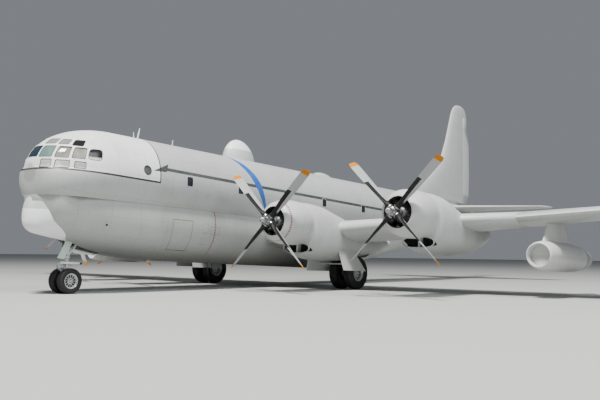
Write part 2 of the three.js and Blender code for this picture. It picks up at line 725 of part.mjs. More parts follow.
const HUB_PROFILE = [
  [-470, 0], [-460, 60], [-390, 120], [-190, 140], [-170, 200], [150, 215], [270, 110], [270, 0],
];
function propeller() {
  const hub = turned(HUB_PROFILE, LENGTH / 2, 0, 0, 12);
  const blades = Array.from({ length: BLADES }, (_, i) =>
    solid(placed(blade(), 0, 0, 0, Math.PI / 4 + (i / BLADES) * 2 * Math.PI)));
  return joined(hub, ...blades);
}

// Columns: number, propeller's station, place across, thrust line, the turn its blades came to rest at
const ENGINES = [
  ['1', OUTBOARD_PROP, OUTBOARD, OUTBOARD_AXIS, 0],
  ['2', INBOARD_PROP, INBOARD, INBOARD_AXIS, 0],
  ['3', INBOARD_PROP, -INBOARD, INBOARD_AXIS, 0],
  ['4', OUTBOARD_PROP, -OUTBOARD, OUTBOARD_AXIS, -12],
];
const propellerBody = propeller();
for (const [number, prop, y, axis, rest] of ENGINES) {
  const port = nacelle(prop, Math.abs(y), axis, Math.abs(y) === INBOARD);
  add(`nacelle_${number}`, y > 0 ? port : mirrored(port), GREY_PAINT);
  add(`engine_${number}`, engine(prop, y, axis), DARK_METAL);
  const screw = add(`propeller_${number}`, propellerBody, BLADE_PAINT);
  screw.position.set(station(prop), y, axis);
  screw.rotation.x = rest * degrees;
}

// Jet pods: an open round intake, a body with a hollow front and a nozzle, hung from a pylon
const POD_PROFILE = [
  [0, 445], [60, 480], [400, 530], [1200, POD_RADIUS], [2900, POD_RADIUS],
  [4000, 480], [4600, 390], [4900, 320], [4900, 280], [4400, 290], [4400, 0],
  [1100, 0], [1100, 400], [500, 400], [60, 425], [0, 445],
];
function pod() {
  const shell = turned(POD_PROFILE, POD_FRONT, POD_SPAN, POD_AXIS, 18);
  // Columns: height, leading edge station, chord
  const rows = [[POD_AXIS + POD_RADIUS - 90, 12600, 2900], [3300, 13270, 1400]];
  const pylon = solid(loft(rows.map(([z, leading, chord]) =>
    wholeSection(() => ({ leading, chord, ratio: 0.11 }), z)
      .map(([s, across]) => new THREE.Vector3(station(s), POD_SPAN + across, z)))));
  const above = wingSpan([WING_JOINT, TIP - 900], (y) => {
    const { leading, chord } = wingPlan(y);
    const [fore, aft] = [leading - 3000, leading + chord + 3000];
    return [[fore, 0], [aft, 0], [aft, 3000], [fore, 3000]];
  });
  return joined(shell, pylon.subtract(joined(outerGrown, above)));
}
const podBody = pod();
add('jet_pod_port', podBody, GREY_PAINT);
add('jet_pod_starboard', mirrored(podBody), GREY_PAINT);

// Wing panels and their moving surfaces, both sides
for (const [side, flip] of [['port', (body) => body], ['starboard', mirrored]]) {
  add(`wing_inner_${side}`, flip(innerWing), GREY_PAINT);
  add(`wing_outer_${side}`, flip(outerWing), GREY_PAINT);
  FLAPS.forEach(([y0, y1], i) => {
    const flap = wingSpan([y0, y1], (y) => movingSection(wingPlan, y, FLAP_HINGE));
    add(`flap_${['inner', 'middle', 'outer'][i]}_${side}`, flip(flap), GREY_PAINT);
  });
  const aileron = wingSpan(AILERON, (y) => movingSection(wingPlan, y, AILERON_HINGE));
  add(`aileron_${side}`, flip(aileron), GREY_PAINT);
}

// Tail surfaces
// A hollow behind the leading edge, open at the rear spar.
const SKIN = 45;
function hollowSection(plan, place, from, to) {
  const { leading, chord, ratio } = plan(place);
  const at = (f) => [leading + f * chord, Math.max(8, halfThickness(f, ratio, chord) - SKIN)];
  const top = [to, (from + to) / 2, from].map(at);
  return [...top, ...top.slice().reverse().map(([s, half]) => [s, -half])];
}
const RUDDER_HINGE = [32350, 32190];
const rudderFraction = (z) => {
  const { leading, chord } = finPlan(z);
  const t = (z - RUDDER_FOOT) / (RUDDER_HEAD - RUDDER_FOOT);
  return (lerp(RUDDER_HINGE[0], RUDDER_HINGE[1], t) - leading) / chord;
};
const RUDDER_PLACES = [RUDDER_FOOT, 6720, 8150, 9930, 11020, RUDDER_HEAD];
const rudderPocket = finSpan(
  [RUDDER_FOOT - SWING_GAP, ...RUDDER_PLACES.slice(1, -1), RUDDER_HEAD + SWING_GAP],
  (z) => pocketSection(finPlan, z, rudderFraction(z)),
);
add('fin', cutBy(finSpan(FIN_ROWS.map((row) => row[0]), (z) => wholeSection(finPlan, z)),
  rudderPocket, upperGrown,
  finSpan([6720, 8150, 9930, 11020], (z) => hollowSection(finPlan, z, 0.16, 0.7)),
  block(31400, 35000, -FAR, FAR, 0, RUDDER_FOOT)), GREY_PAINT);
add('rudder', finSpan(RUDDER_PLACES, (z) =>
  movingSection(finPlan, z, rudderFraction(z))), GREY_PAINT);

const ELEVATOR = [1150, TAILPLANE_HALF - 630];
const ELEVATOR_HINGE = 31720;
const elevatorFraction = (y) => (ELEVATOR_HINGE - tailPlan(y).leading) / tailPlan(y).chord;
const elevatorPocket = (side) => tailSpan(
  [side * (ELEVATOR[0] - SWING_GAP), side * (ELEVATOR[1] + SWING_GAP)],
  (y) => pocketSection(tailPlan, y, elevatorFraction(y)),
);
const tailHollow = (side) => tailSpan(
  [side * (ELEVATOR[0] + 150), side * (ELEVATOR[1] - 300)],
  (y) => hollowSection(tailPlan, y, 0.14, 0.62),
);
add('tailplane', cutBy(tailSpan(TAIL_PLACES, (y) => wholeSection(tailPlan, y)),
  elevatorPocket(1), elevatorPocket(-1), tailHollow(1), tailHollow(-1)), GREY_PAINT);
for (const [side, sign] of [['port', 1], ['starboard', -1]]) {
  add(`elevator_${side}`, tailSpan([sign * ELEVATOR[0], sign * ELEVATOR[1]], (y) =>
    movingSection(tailPlan, y, elevatorFraction(y))), GREY_PAINT);
}

// Gear

// A tyre and its wheel turned about an axle across the aircraft.
function wheel(radius, width, hub) {
  const half = width / 2;
  const profile = [[0, half * 0.45], [hub * 0.85, half * 0.35], [hub, half * 0.8], [radius * 0.75, half],
    [radius * 0.95, half * 0.75], [radius, half * 0.3]];
  const under = profile.slice().reverse().map(([r, across]) => [r, -across]);
  const points = [...profile, ...under].map(([r, across]) => new THREE.Vector2(r, across));
  return new THREE.LatheGeometry(points, 18);
}

function twinWheels([s, y, z], radius, width, spacing, hub) {
  const wheels = [-1, 1].map((side) =>
    solid(solidPoints(placed(wheel(radius, width, hub), station(s), y + side * spacing / 2, z))));
  const axle = bar([s, y - spacing / 2, z], [s, y + spacing / 2, z], hub * 0.3, 12);
  return joined(...wheels, axle);
}

const NOSE_HUB = NOSE_FOOT + NOSE_TYRE;
const noseWheels = twinWheels([NOSE_AXLE, 0, NOSE_HUB], NOSE_TYRE, NOSE_TYRE_WIDTH, NOSE_WHEEL_SPACING, 230);
const NOSE_COLLAR = 1160;
const noseForkBore = bar([NOSE_AXLE, -600, NOSE_HUB], [NOSE_AXLE, 600, NOSE_HUB], 230 * 0.3 + 12, 12);
const noseFork = joined(
  bar([NOSE_AXLE, 0, NOSE_HUB - 90], [NOSE_AXLE, 0, NOSE_COLLAR - 12], 75),
  block(NOSE_AXLE - 110, NOSE_AXLE + 110, -72, 72, NOSE_HUB - 110, NOSE_HUB + 110),
  block(NOSE_AXLE - 190, NOSE_AXLE - 40, -50, 50, 830, 910),
  block(NOSE_AXLE + 60, NOSE_AXLE + 430, -60, 60, 880, 960),
).subtract(noseForkBore);
const noseLeg = joined(
  bar([NOSE_AXLE, 0, NOSE_COLLAR], [NOSE_AXLE, 0, NOSE_BAY[3] - GAP], 105),
  bar([NOSE_AXLE, 0, 1320], [2750, 0, NOSE_BAY[3] - 60], 45),
  bar([NOSE_AXLE, -285, 2150], [NOSE_AXLE, 285, 2150], 50),
  bar([NOSE_AXLE, 0, 1450], [2880, 0, 1345], 38, 10),
).intersect(block(0, 2890, -298, 298, 0, NOSE_BAY[3] - GAP));
add('nose_gear_leg', noseLeg, BARE_METAL);
addAt('nose_gear_fork', noseFork, BARE_METAL, station(NOSE_AXLE), 0, NOSE_HUB);
addAt('nose_wheels', noseWheels, RUBBER, station(NOSE_AXLE), 0, NOSE_HUB);
// The port door, which hangs beside the leg, and the bar that holds it there
const NOSE_DOOR = [[1410, 1760], [1690, 1760], [1380, 1120], [1100, 1150]];
const NOSE_DOOR_OUT = 305;
const noseDoor = joined(
  solid(loft([0, 30].map((extra) => NOSE_DOOR.map(([s, z]) =>
    new THREE.Vector3(station(s), NOSE_DOOR_OUT + extra, z))))),
  bar([1450, NOSE_DOOR_OUT + 10, 1450], [NOSE_AXLE, 0, 1450], 24, 8),
);
add('nose_gear_door', cutBy(noseDoor, bar([NOSE_AXLE, 0, 1000], [NOSE_AXLE, 0, 2600], 105 + GAP),
  lobe(LOWER_SECTIONS, LOWER_FRONT, 6000, GAP)), CABIN_GREEN);

// Main gear: the leg, and its two doors with the rod that links them
const AXLE_BORE = 380 * 0.3 + 12;
const MAIN_HUB = MAIN_FOOT + MAIN_TYRE;
function mainLeg(y) {
  const leg = joined(
    bar([MAIN_AXLE, y, MAIN_HUB - 100], [MAIN_AXLE, y, GEAR_BAY[3] - GAP], 100),
    bar([MAIN_AXLE, y, MAIN_HUB + 290], [MAIN_AXLE, y, GEAR_BAY[3] - GAP], 130),
    bar([MAIN_AXLE - 30, y, MAIN_HUB + 440], [12440, y, 2060], 60),
    block(MAIN_AXLE - 140, MAIN_AXLE + 140, y - 115, y + 115, MAIN_HUB - 150, MAIN_HUB + 150),
    bar([MAIN_AXLE, y - 425, 1980], [MAIN_AXLE, y + 425, 1980], 60),
  );
  const bore = bar([MAIN_AXLE, y - 900, MAIN_HUB], [MAIN_AXLE, y + 900, MAIN_HUB], AXLE_BORE, 12);
  return leg.subtract(bore);
}

// Columns: station, height
const OUTER_DOOR = [[11280, 2250], [12250, 2250], [12650, 1720], [13190, 1095], [11560, 1095]];
const INNER_DOOR = [[11050, 2250], [12950, 2250], [13150, 1060], [11150, 1040]];
const DOOR_THICKNESS = 40;
const DOOR_TOP_OUT = 640;
const DOOR_FOOT_OUT = 800;
function doorPlate(outline, y, side) {
  const face = (extra) => outline.map(([s, z]) => {
    const out = lerp(DOOR_TOP_OUT, DOOR_FOOT_OUT, (1900 - z) / (1900 - 1095)) + extra;
    return new THREE.Vector3(station(s), y + side * out, z);
  });
  return solid(loft([face(0), face(DOOR_THICKNESS)]));
}

const inboardGrown = nacelleBody(INBOARD_PROP, INBOARD, INBOARD_AXIS, GAP);
const mainDoors = cutBy(joined(
  doorPlate(OUTER_DOOR, INBOARD, 1),
  doorPlate(INNER_DOOR, INBOARD, -1),
  bar([12000, INBOARD - 760, 1370], [12000, INBOARD + 760, 1370], 30, 8),
), inboardGrown, innerGrown);

for (const [side, sign, flip] of [['port', 1, (body) => body], ['starboard', -1, mirrored]]) {
  const y = sign * INBOARD;
  add(`main_gear_leg_${side}`, mainLeg(y), BARE_METAL);
  add(`main_gear_doors_${side}`, flip(mainDoors), GREY_PAINT);
  const wheels = twinWheels([MAIN_AXLE, y, MAIN_HUB], MAIN_TYRE, MAIN_TYRE_WIDTH, MAIN_WHEEL_SPACING, 380);
  addAt(`main_wheels_${side}`, wheels, RUBBER, station(MAIN_AXLE), y, MAIN_HUB);
}

// Parked: nose up by the stance, with the origin on the ground under the middle of the length.
aircraft.rotation.y = -STANCE;
const bounds = new THREE.Box3().setFromObject(aircraft, true);
const middle = bounds.getCenter(new THREE.Vector3());
aircraft.position.set(-middle.x, 0, -bounds.min.z);

export default aircraft;
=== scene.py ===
"""A four-engine piston transport aircraft at half size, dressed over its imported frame.

Shapes are worked out in the full-size aircraft's own measures, in metres: station aft of the nose,
distance out to port, and height above the level aircraft's datum. place() takes them to the frame.
"""
import math

import bmesh
import bpy
import numpy as np
from mathutils import Matrix, Vector


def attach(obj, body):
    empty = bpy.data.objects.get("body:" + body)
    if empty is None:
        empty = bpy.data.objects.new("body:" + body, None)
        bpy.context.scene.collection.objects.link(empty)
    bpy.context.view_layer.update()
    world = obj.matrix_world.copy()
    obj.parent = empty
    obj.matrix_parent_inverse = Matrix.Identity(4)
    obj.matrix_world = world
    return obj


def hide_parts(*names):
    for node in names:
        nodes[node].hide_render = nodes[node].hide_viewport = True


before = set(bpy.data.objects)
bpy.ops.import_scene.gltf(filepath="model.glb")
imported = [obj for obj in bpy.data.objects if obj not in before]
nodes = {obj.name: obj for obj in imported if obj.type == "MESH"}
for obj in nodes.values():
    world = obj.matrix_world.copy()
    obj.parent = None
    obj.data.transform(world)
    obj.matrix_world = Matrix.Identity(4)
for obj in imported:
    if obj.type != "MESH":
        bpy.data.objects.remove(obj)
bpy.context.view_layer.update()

LENGTH = 33.62
LEAN = math.atan(0.397 / 11.36)
SHIFT = (0.0265008, -0.2138954)
TAU = 2 * math.pi
# The play between two skins, and a direction that no bar here runs along
GAP, SLANT = 0.002, (0.31, 0.52, 0.79)
# The fuselage's two lobes: radius and height of the middle of each, and the height where they meet
UPPER_RADIUS, UPPER_CENTRE, LOWER_RADIUS, LOWER_CENTRE, DECK = 1.676, 4.27, 1.48, 2.69, 3.29
NOSE_LENGTH, NOSE_BREAK, MID_BREAK, TAIL_BREAK, TAIL_END = 3.0, 4.47, 15.9, 25.3, 33.53
LOWER_FRONT, LOWER_BREAK, LOWER_END = 0.05, 13.9, 26.3
NOSE_WALL, HULL_WALL, AFT_WALL, LOWER_WALL = 0.05, 0.09, 0.056, 0.08
HULL_SIDES = 112
BOTH_SIDES = (("port", 1), ("starboard", -1))


def place(points):
    """Full-size (station, out, height) in the frame: halved, turned nose up by the lean, and shifted."""
    s, y, z = np.moveaxis(np.asarray(points, float), -1, 0)
    x, h = (LENGTH / 2 - s) / 2, z / 2
    cos, sin = math.cos(LEAN), math.sin(LEAN)
    return np.stack([x * cos - h * sin + SHIFT[0], y / 2, x * sin + h * cos + SHIFT[1]], -1)


def eased(table, s):
    """Rows of (station, values...) joined by cubics whose slope at a row is the harmonic mean of the
    slopes on either side, or nothing where they differ in sign, so that no value swings past its rows."""
    table = np.asarray(table, float)
    x, v = table[:, 0], table[:, 1:]
    h, d = np.diff(x)[:, None], np.diff(v, axis=0) / np.diff(x)[:, None]
    slope = np.zeros_like(v)
    same = d[:-1] * d[1:] > 0
    w1, w2 = 2 * h[1:] + h[:-1], h[1:] + 2 * h[:-1]
    with np.errstate(divide="ignore", invalid="ignore"):
        slope[1:-1] = np.where(same, (w1 + w2) / (w1 / d[:-1] + w2 / d[1:]), 0)
    slope[0], slope[-1] = d[0], d[-1]
    s = np.clip(np.asarray(s, float), x[0], x[-1])
    k = np.clip(np.searchsorted(x, s, side="right") - 1, 0, len(x) - 2)
    t = ((s - x[k]) / (x[k + 1] - x[k]))[..., None]
    span = (x[k + 1] - x[k])[..., None]
    return (v[k] * (2 * t**3 - 3 * t**2 + 1) + span * slope[k] * (t**3 - 2 * t**2 + t)
            + v[k + 1] * (3 * t**2 - 2 * t**3) + span * slope[k + 1] * (t**3 - t**2))


def stations(first, last, step):
    """Evenly spaced numbers from first to last, no further apart than step."""
    return np.linspace(first, last, max(2, int(math.ceil(abs(last - first) / step)) + 1))


def around(count, start=0):
    """The turns of so many places evenly round a circle, the first of them start steps on."""
    return (np.arange(count) + start) / count * TAU


def bulged(v, power):
    """A superellipse's reach for a cosine or a sine: its size to two over the power, with its sign."""
    return np.sign(v) * np.abs(v) ** (2 / power)


# Meshes

def loft(rings, finish=0, capped=True):
    """Quads between each ring of a grid and the next, with a flat face over the first and last."""
    rows, count = rings.shape[:2]
    first = np.arange((rows - 1) * count).reshape(rows - 1, count)
    after = np.roll(first, -1, axis=1)
    faces = np.stack([first, after, after + count, first + count], -1).reshape(-1, 4).tolist()
    if capped:
        faces += [list(range(count))[::-1], list(range((rows - 1) * count, rows * count))]
    return rings.reshape(-1, 3), faces, [finish] * len(faces)


def sheet(grid):
    """Quads over an open grid of points."""
    rows, count = grid.shape[:2]
    first = (np.arange(rows - 1)[:, None] * count + np.arange(count - 1)[None, :]).ravel()
    faces = np.stack([first, first + 1, first + count + 1, first + count], -1).tolist()
    return grid.reshape(-1, 3), faces, [0] * len(faces)


def turned(profile, s, y, z, sides=48, finish=0):
    """A profile of (distance aft, radius) turned about a fore and aft line: radius times cosine is the
    distance out, and times sine the height."""
    aft, r = np.asarray(profile, float).T[..., None]
    a = around(sides)
    return loft(np.stack(np.broadcast_arrays(s + aft, y + r * np.cos(a), z + r * np.sin(a)), -1), finish)


def wheel_turned(profile, s, y, z, sides=64, finish=0, closed=True):
    """A profile of (distance out, radius) turned about an axle across the aircraft. closed joins its ends."""
    if closed:
        profile = profile + profile[:1]
    out, r = np.asarray(profile, float).T[..., None]
    a = around(sides)
    grid = np.stack(np.broadcast_arrays(s + r * np.cos(a), y + out, z + r * np.sin(a)), -1)
    return loft(grid, finish, capped=not closed)


def tube(path, radius, sides=12, finish=0):
    """A round bar along a path: each point's ring stands square to the path there, on two axes found by
    crossing the path's direction with a slanting one."""
    path = np.asarray(path, float)
    radius = np.broadcast_to(np.asarray(radius, float), len(path))
    along = np.gradient(path, axis=0)
    along /= np.linalg.norm(along, axis=1, keepdims=True)
    side = np.cross(along, SLANT)
    side /= np.linalg.norm(side, axis=1, keepdims=True)
    other = np.cross(along, side)
    a = around(sides)[:, None]
    rings = path[:, None] + radius[:, None, None] * (side[:, None] * np.cos(a) + other[:, None] * np.sin(a))
    return loft(rings, finish)


def slab(centre, size, finish=0, edge=0.15):
    """A block with its corners taken off: a superellipse of power 6 in plan, run from end to end."""
    a = around(16, 0.5)
    ring = np.stack([bulged(np.cos(a), 6), bulged(np.sin(a), 6)], -1)
    levels = np.array([[-1, 1 - edge], [-1 + edge, 1], [1 - edge, 1], [1, 1 - edge]])
    along, wide = levels.T[..., None]
    grid = np.stack(np.broadcast_arrays(along, ring[:, 0] * wide, ring[:, 1] * wide), -1)
    return loft(grid * np.asarray(size, float) / 2 + np.asarray(centre, float), finish)


def sided(parts, sign):
    """The parts as they are to port, or mirrored across the centreline where sign is -1."""
    return [(points * [1, sign, 1], faces, finish) for points, faces, finish in parts]


def shifted(parts, offset):
    """The parts, moved by an offset."""
    return [(points + np.asarray(offset, float), faces, finish) for points, faces, finish in parts]


def merged(parts):
    """Several parts as one list of points, one of faces and one of finishes."""
    points, faces, finishes, base = [], [], [], 0
    for p, f, m in parts:
        points.append(np.asarray(p, float))
        faces += [[i + base for i in face] for face in f]
        finishes += list(m)
        base += len(p)
    return np.vstack(points), faces, finishes


def mesh_of(parts, name, finishes):
    """One mesh from full-size parts, with its faces turned outwards."""
    points, faces, kinds = merged(parts)
    mesh = bpy.data.meshes.new(name)
    mesh.from_pydata(place(points).tolist(), [], faces)
    mesh.polygons.foreach_set("material_index", np.array(kinds, np.int32))
    work = bmesh.new()
    work.from_mesh(mesh)
    bmesh.ops.remove_doubles(work, verts=work.verts, dist=1e-6)
    bmesh.ops.recalc_face_normals(work, faces=work.faces)
    work.to_mesh(mesh)
    work.free()
    for finish in finishes:
        mesh.materials.append(finish)
    return mesh


def added(name, data):
    """An object at the origin that shows the data, linked to the scene."""
    obj = bpy.data.objects.new(name, data)
    bpy.context.scene.collection.objects.link(obj)
    return obj


def shade(mesh, sharp):
    """Smooth faces, with an edge kept sharp where its faces meet at more than the given degrees."""
    mesh.polygons.foreach_set("use_smooth", np.ones(len(mesh.polygons), bool))
    mesh.set_sharp_from_angle(angle=math.radians(sharp))


def piece(name, parts, finishes, body="airframe", stands_for=(), sharp=35, cuts=(), keep=()):
    """One object of the dressed aircraft. cuts are parts taken from it, keep are parts it is held to."""
    obj = added(name, mesh_of(parts, name, finishes))
    tools = []
    for kind, others in (("DIFFERENCE", cuts), ("INTERSECT", keep)):
        for other in others:
            tools.append(added("cutter", mesh_of([other], "cutter", finishes)))
            modifier = obj.modifiers.new("cut", "BOOLEAN")
            modifier.operation, modifier.object, modifier.solver = kind, tools[-1], "MANIFOLD"
    if tools:
        bpy.context.view_layer.update()
        done = bpy.data.meshes.new_from_object(obj.evaluated_get(bpy.context.evaluated_depsgraph_get()))
        obj.modifiers.clear()
        obj.data = done
        for tool in tools:
            bpy.data.objects.remove(tool)
    shade(obj.data, sharp)
    return dressed(obj, body, stands_for)


def lined(part):
    """The same part in the second finish: what it cuts is lined with that."""
    points, faces, kinds = part
    return points, faces, [1] * len(kinds)


def dressed(obj, body, stands_for=()):
    """Rides the object on its body and hides the imported parts it stands for."""
    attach(obj, body)
    if stands_for:
        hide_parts(*stands_for)
    return obj


def smoothed(node, finish, body="airframe", sharp=35, rounded=0.0):
    """A copy of a node with its points merged and its flats shaded as one curve."""
    mesh = nodes[node].data.copy()
    mesh.name = node + "_skin"
    work = bmesh.new()
    work.from_mesh(mesh)
    bmesh.ops.remove_doubles(work, verts=work.verts, dist=2e-5)
    bmesh.ops.dissolve_degenerate(work, edges=work.edges, dist=1e-5)
    bmesh.ops.recalc_face_normals(work, faces=work.faces)
    work.to_mesh(mesh)
    work.free()
    mesh.materials.clear()
    mesh.materials.append(finish)
    obj = added(node + "_skin", mesh)
    shade(mesh, sharp)
    if rounded:
        bevel = obj.modifiers.new("rounded", "BEVEL")
        bevel.width, bevel.segments, bevel.limit_method = rounded, 2, "ANGLE"
        bevel.angle_limit = math.radians(sharp)
    return dressed(obj, body, [node])


# Finishes

class Nodes:
    """Writes one shader tree, with short calls for its nodes and links."""

    def __init__(self, tree):
        self.tree = tree

    def add(self, kind, **settings):
        """A node of a kind, with its settings."""
        node = self.tree.nodes.new(kind)
        for key, value in settings.items():
            setattr(node, key, value)
        return node

    def link(self, source, target):
        self.tree.links.new(source, target)

    def feed(self, socket, value):
        """Links the socket to another, or sets it to a plain value."""
        if isinstance(value, bpy.types.NodeSocket):
            self.link(value, socket)
        elif value is not None:
            socket.default_value = value

    def math(self, operation, a, b=None, clamp=False):
        node = self.add("ShaderNodeMath", operation=operation, use_clamp=clamp)
        self.feed(node.inputs[0], a)
        self.feed(node.inputs[1], b)
        return node.outputs[0]

    def plus(self, a, b, clamp=False):
        return self.math("ADD", a, b, clamp)

    def minus(self, a, b):
        return self.math("SUBTRACT", a, b)

    def times(self, a, b):
        return self.math("MULTIPLY", a, b)

    def mix(self, factor, a, b):
        """Colour a where the factor is 0 and b where it is 1."""
        node = self.add("ShaderNodeMix", data_type="RGBA")
        self.feed(node.inputs[0], factor)
        self.feed(node.inputs[6], a)
        self.feed(node.inputs[7], b)
        return node.outputs[2]

    def ramp(self, value, low, high, out_low=0.0, out_high=1.0):
        """A smooth step from one number to another, as the value goes from low to high."""
        node = self.add("ShaderNodeMapRange", interpolation_type="SMOOTHSTEP")
        for socket, given in zip(node.inputs, (value, low, high, out_low, out_high)):
            self.feed(socket, given)
        return node.outputs[0]

    def noise(self, vector, scale, detail=4.0, rough=0.55, distortion=0.0):
        """Cloudy noise about a half."""
        node = self.add("ShaderNodeTexNoise")
        self.feed(node.inputs["Vector"], vector)
        given = {"Scale": scale, "Detail": detail, "Roughness": rough, "Distortion": distortion}
        for key, value in given.items():
            self.feed(node.inputs[key], value)
        return node.outputs[0]

    def split(self, vector):
        """The three numbers of a vector."""
        node = self.add("ShaderNodeSeparateXYZ")
        self.feed(node.inputs[0], vector)
        return node.outputs

    def band(self, value, low, high, soft=0.008):
        """1 between low and high, fading over soft."""
        up = self.ramp(value, self.minus(low, soft), low)
        down = self.ramp(value, high, self.plus(high, soft))
        return self.times(up, self.minus(1.0, down))


def group(name, inputs, outputs, build):
    """A shader node group with named sockets, filled in by build(nodes, inputs, outputs)."""
    tree = bpy.data.node_groups.new(name, "ShaderNodeTree")
    for label, kind, value in inputs:
        socket = tree.interface.new_socket(label, in_out="INPUT", socket_type="NodeSocket" + kind)
        if value is not None:
            socket.default_value = value
    for label, kind in outputs:
        tree.interface.new_socket(label, in_out="OUTPUT", socket_type="NodeSocket" + kind)
    nt = Nodes(tree)
    entry, leave = nt.add("NodeGroupInput"), nt.add("NodeGroupOutput")
    build(nt, entry.outputs, leave.inputs)
    return tree


def build_measures(nt, given, out):
    """Object coordinates back to the full-size level aircraft's station, out and height."""
    x, y, z = nt.split(given["Vector"])[:3]
    x, z = nt.minus(x, SHIFT[0]), nt.minus(z, SHIFT[1])
    cos, sin = 2 * math.cos(LEAN), 2 * math.sin(LEAN)
    fore = nt.plus(nt.times(x, cos), nt.times(z, sin))
    nt.link(nt.minus(LENGTH / 2, fore), out["Station"])
    nt.link(nt.times(y, 2.0), out["Out"])
    nt.link(nt.minus(nt.times(z, cos), nt.times(x, sin)), out["Height"])


measures = group("aircraft_measures", [("Vector", "Vector", None)],
                 [("Station", "Float"), ("Out", "Float"), ("Height", "Float")], build_measures)


def build_weather(nt, given, out):
    """Broad mottling, streaks that run down, and fine chalking, laid over a paint colour."""
    vector = given["Vector"]
    broad = nt.noise(vector, 0.9, 5.0, 0.6)
    stretch = nt.add("ShaderNodeMapping")
    nt.link(vector, stretch.inputs["Vector"])
    stretch.inputs["Scale"].default_value = (7.0, 7.0, 0.8)
    streak = nt.ramp(nt.noise(stretch.outputs[0], 1.6, 3.0, 0.6), 0.5, 0.78)
    fine = nt.noise(vector, 38.0, 3.0, 0.65)
    soot = nt.times(nt.ramp(broad, 0.42, 0.74), given["Dirt"])
    tone = nt.mix(soot, given["Color"], given["Dirt Color"])
    runs = nt.times(streak, nt.times(given["Dirt"], 0.55))
    tone = nt.mix(runs, tone, given["Dirt Color"])
    chalk = nt.times(nt.ramp(fine, 0.45, 0.8), given["Chalk"])
    tone = nt.mix(chalk, tone, (0.9, 0.91, 0.9, 1))
    nt.link(tone, out["Color"])
    rough = nt.plus(given["Roughness"], nt.times(nt.minus(broad, 0.45), 0.25))
    nt.link(nt.plus(rough, nt.times(chalk, 0.3), clamp=True), out["Roughness"])
    nt.link(nt.plus(fine, broad), out["Height"])


weather = group("weathered_paint", [
    ("Vector", "Vector", None), ("Color", "Color", (0.6, 0.6, 0.6, 1)),
    ("Dirt Color", "Color", (0.2, 0.2, 0.18, 1)), ("Dirt", "Float", 0.3), ("Chalk", "Float", 0.15),
    ("Roughness", "Float", 0.45)],
    [("Color", "Color"), ("Roughness", "Float"), ("Height", "Float")], build_weather)

RIVET_PITCH, RIVET_INSET, RIVET_CORE, RIVET_EDGE = 0.07, 0.028, 0.004, 0.011


def build_plating(nt, given, out):
    """Seams where one number or the other comes round to its step, with rivets along both."""
    fore, over = given["Along"], given["Around"]

    def seam(value, step, width):
        """1 on the lines that stand a step apart."""
        away = nt.math("PINGPONG", value, nt.times(step, 0.5))
        return nt.minus(1.0, nt.ramp(away, nt.times(width, 0.4), width))

    frames = seam(fore, given["Along Step"], given["Width"])
    stringers = seam(over, given["Around Step"], given["Width"])
    lines = nt.math("MAXIMUM", frames, nt.times(stringers, 0.8))

    def rivets(across, step, run):
        """1 on the heads: their distance from the nearest point of a row beside the seam."""
        off = nt.minus(nt.math("PINGPONG", across, nt.times(step, 0.5)), RIVET_INSET)
        place_on = nt.math("PINGPONG", run, RIVET_PITCH / 2)
        away = nt.math("SQRT", nt.plus(nt.math("POWER", off, 2.0), nt.math("POWER", place_on, 2.0)))
        return nt.minus(1.0, nt.ramp(away, RIVET_CORE, RIVET_EDGE))

    heads = nt.math("MAXIMUM", rivets(fore, given["Along Step"], over),
                    rivets(over, given["Around Step"], fore))
    nt.link(lines, out["Seam"])
    nt.link(nt.minus(nt.times(heads, 0.4), lines), out["Height"])


plating = group("riveted_plating", [
    ("Along", "Float", 0), ("Around", "Float", 0), ("Along Step", "Float", 1.2),
    ("Around Step", "Float", 0.8), ("Width", "Float", 0.012)],
    [("Seam", "Float"), ("Height", "Float")], build_plating)


def shader(name, roughness, metallic=0.0, specular=0.5):
    """A material with its tree helper, its own Principled shader and the object's coordinates."""
    mat = bpy.data.materials.new(name)
    mat.use_nodes = True
    nt = Nodes(mat.node_tree)
    mat.node_tree.nodes.clear()
    out, bsdf = nt.add("ShaderNodeOutputMaterial"), nt.add("ShaderNodeBsdfPrincipled")
    nt.link(bsdf.outputs[0], out.inputs[0])
    bsdf.inputs["Roughness"].default_value = roughness
    bsdf.inputs["Metallic"].default_value = metallic
    bsdf.inputs["Specular IOR Level"].default_value = specular
    return mat, nt, bsdf, nt.add("ShaderNodeTexCoord").outputs["Object"]


def use(nt, tree, **given):
    """Places a group, with its inputs by name and underscores for spaces."""
    node = nt.add("ShaderNodeGroup")
    node.node_tree = tree
    for key, value in given.items():
        nt.feed(node.inputs[key.replace("_", " ")], value)
    return node.outputs


def bump(nt, bsdf, height, distance, strength):
    """Raises the shader's surface by a height."""
    node = nt.add("ShaderNodeBump")
    node.inputs["Strength"].default_value = strength
    node.inputs["Distance"].default_value = distance
    nt.link(height, node.inputs["Height"])
    nt.link(node.outputs[0], bsdf.inputs["Normal"])


DIRT = (0.19, 0.19, 0.17, 1)


def paint(name, color, dirt=0.25, chalk=0.12, rough=0.42, metallic=0.0, specular=0.5, seams=None,
          livery=None, seam_depth=0.35, grain=0.35):
    """Weathered paint. seams picks how the plates run, and livery paints its marks over the colour."""
    mat, nt, bsdf, vector = shader(name, rough, metallic, specular)
    where = use(nt, measures, Vector=vector)
    base = livery(nt, where, color) if livery else color
    worn = use(nt, weather, Vector=vector, Color=base, Dirt_Color=DIRT, Dirt=dirt, Chalk=chalk,
               Roughness=rough)
    tone, height = worn["Color"], nt.times(worn["Height"], 0.12)
    if seams:
        fore, over, steps = seams(nt, where)
        plates = use(nt, plating, Along=fore, Around=over, Along_Step=steps[0], Around_Step=steps[1])
        tone = nt.mix(nt.times(plates["Seam"], seam_depth), tone, DIRT)
        height = nt.plus(height, plates["Height"])
    nt.link(tone, bsdf.inputs["Base Color"])
    nt.link(worn["Roughness"], bsdf.inputs["Roughness"])
    bump(nt, bsdf, height, 0.0012, grain)
    return mat


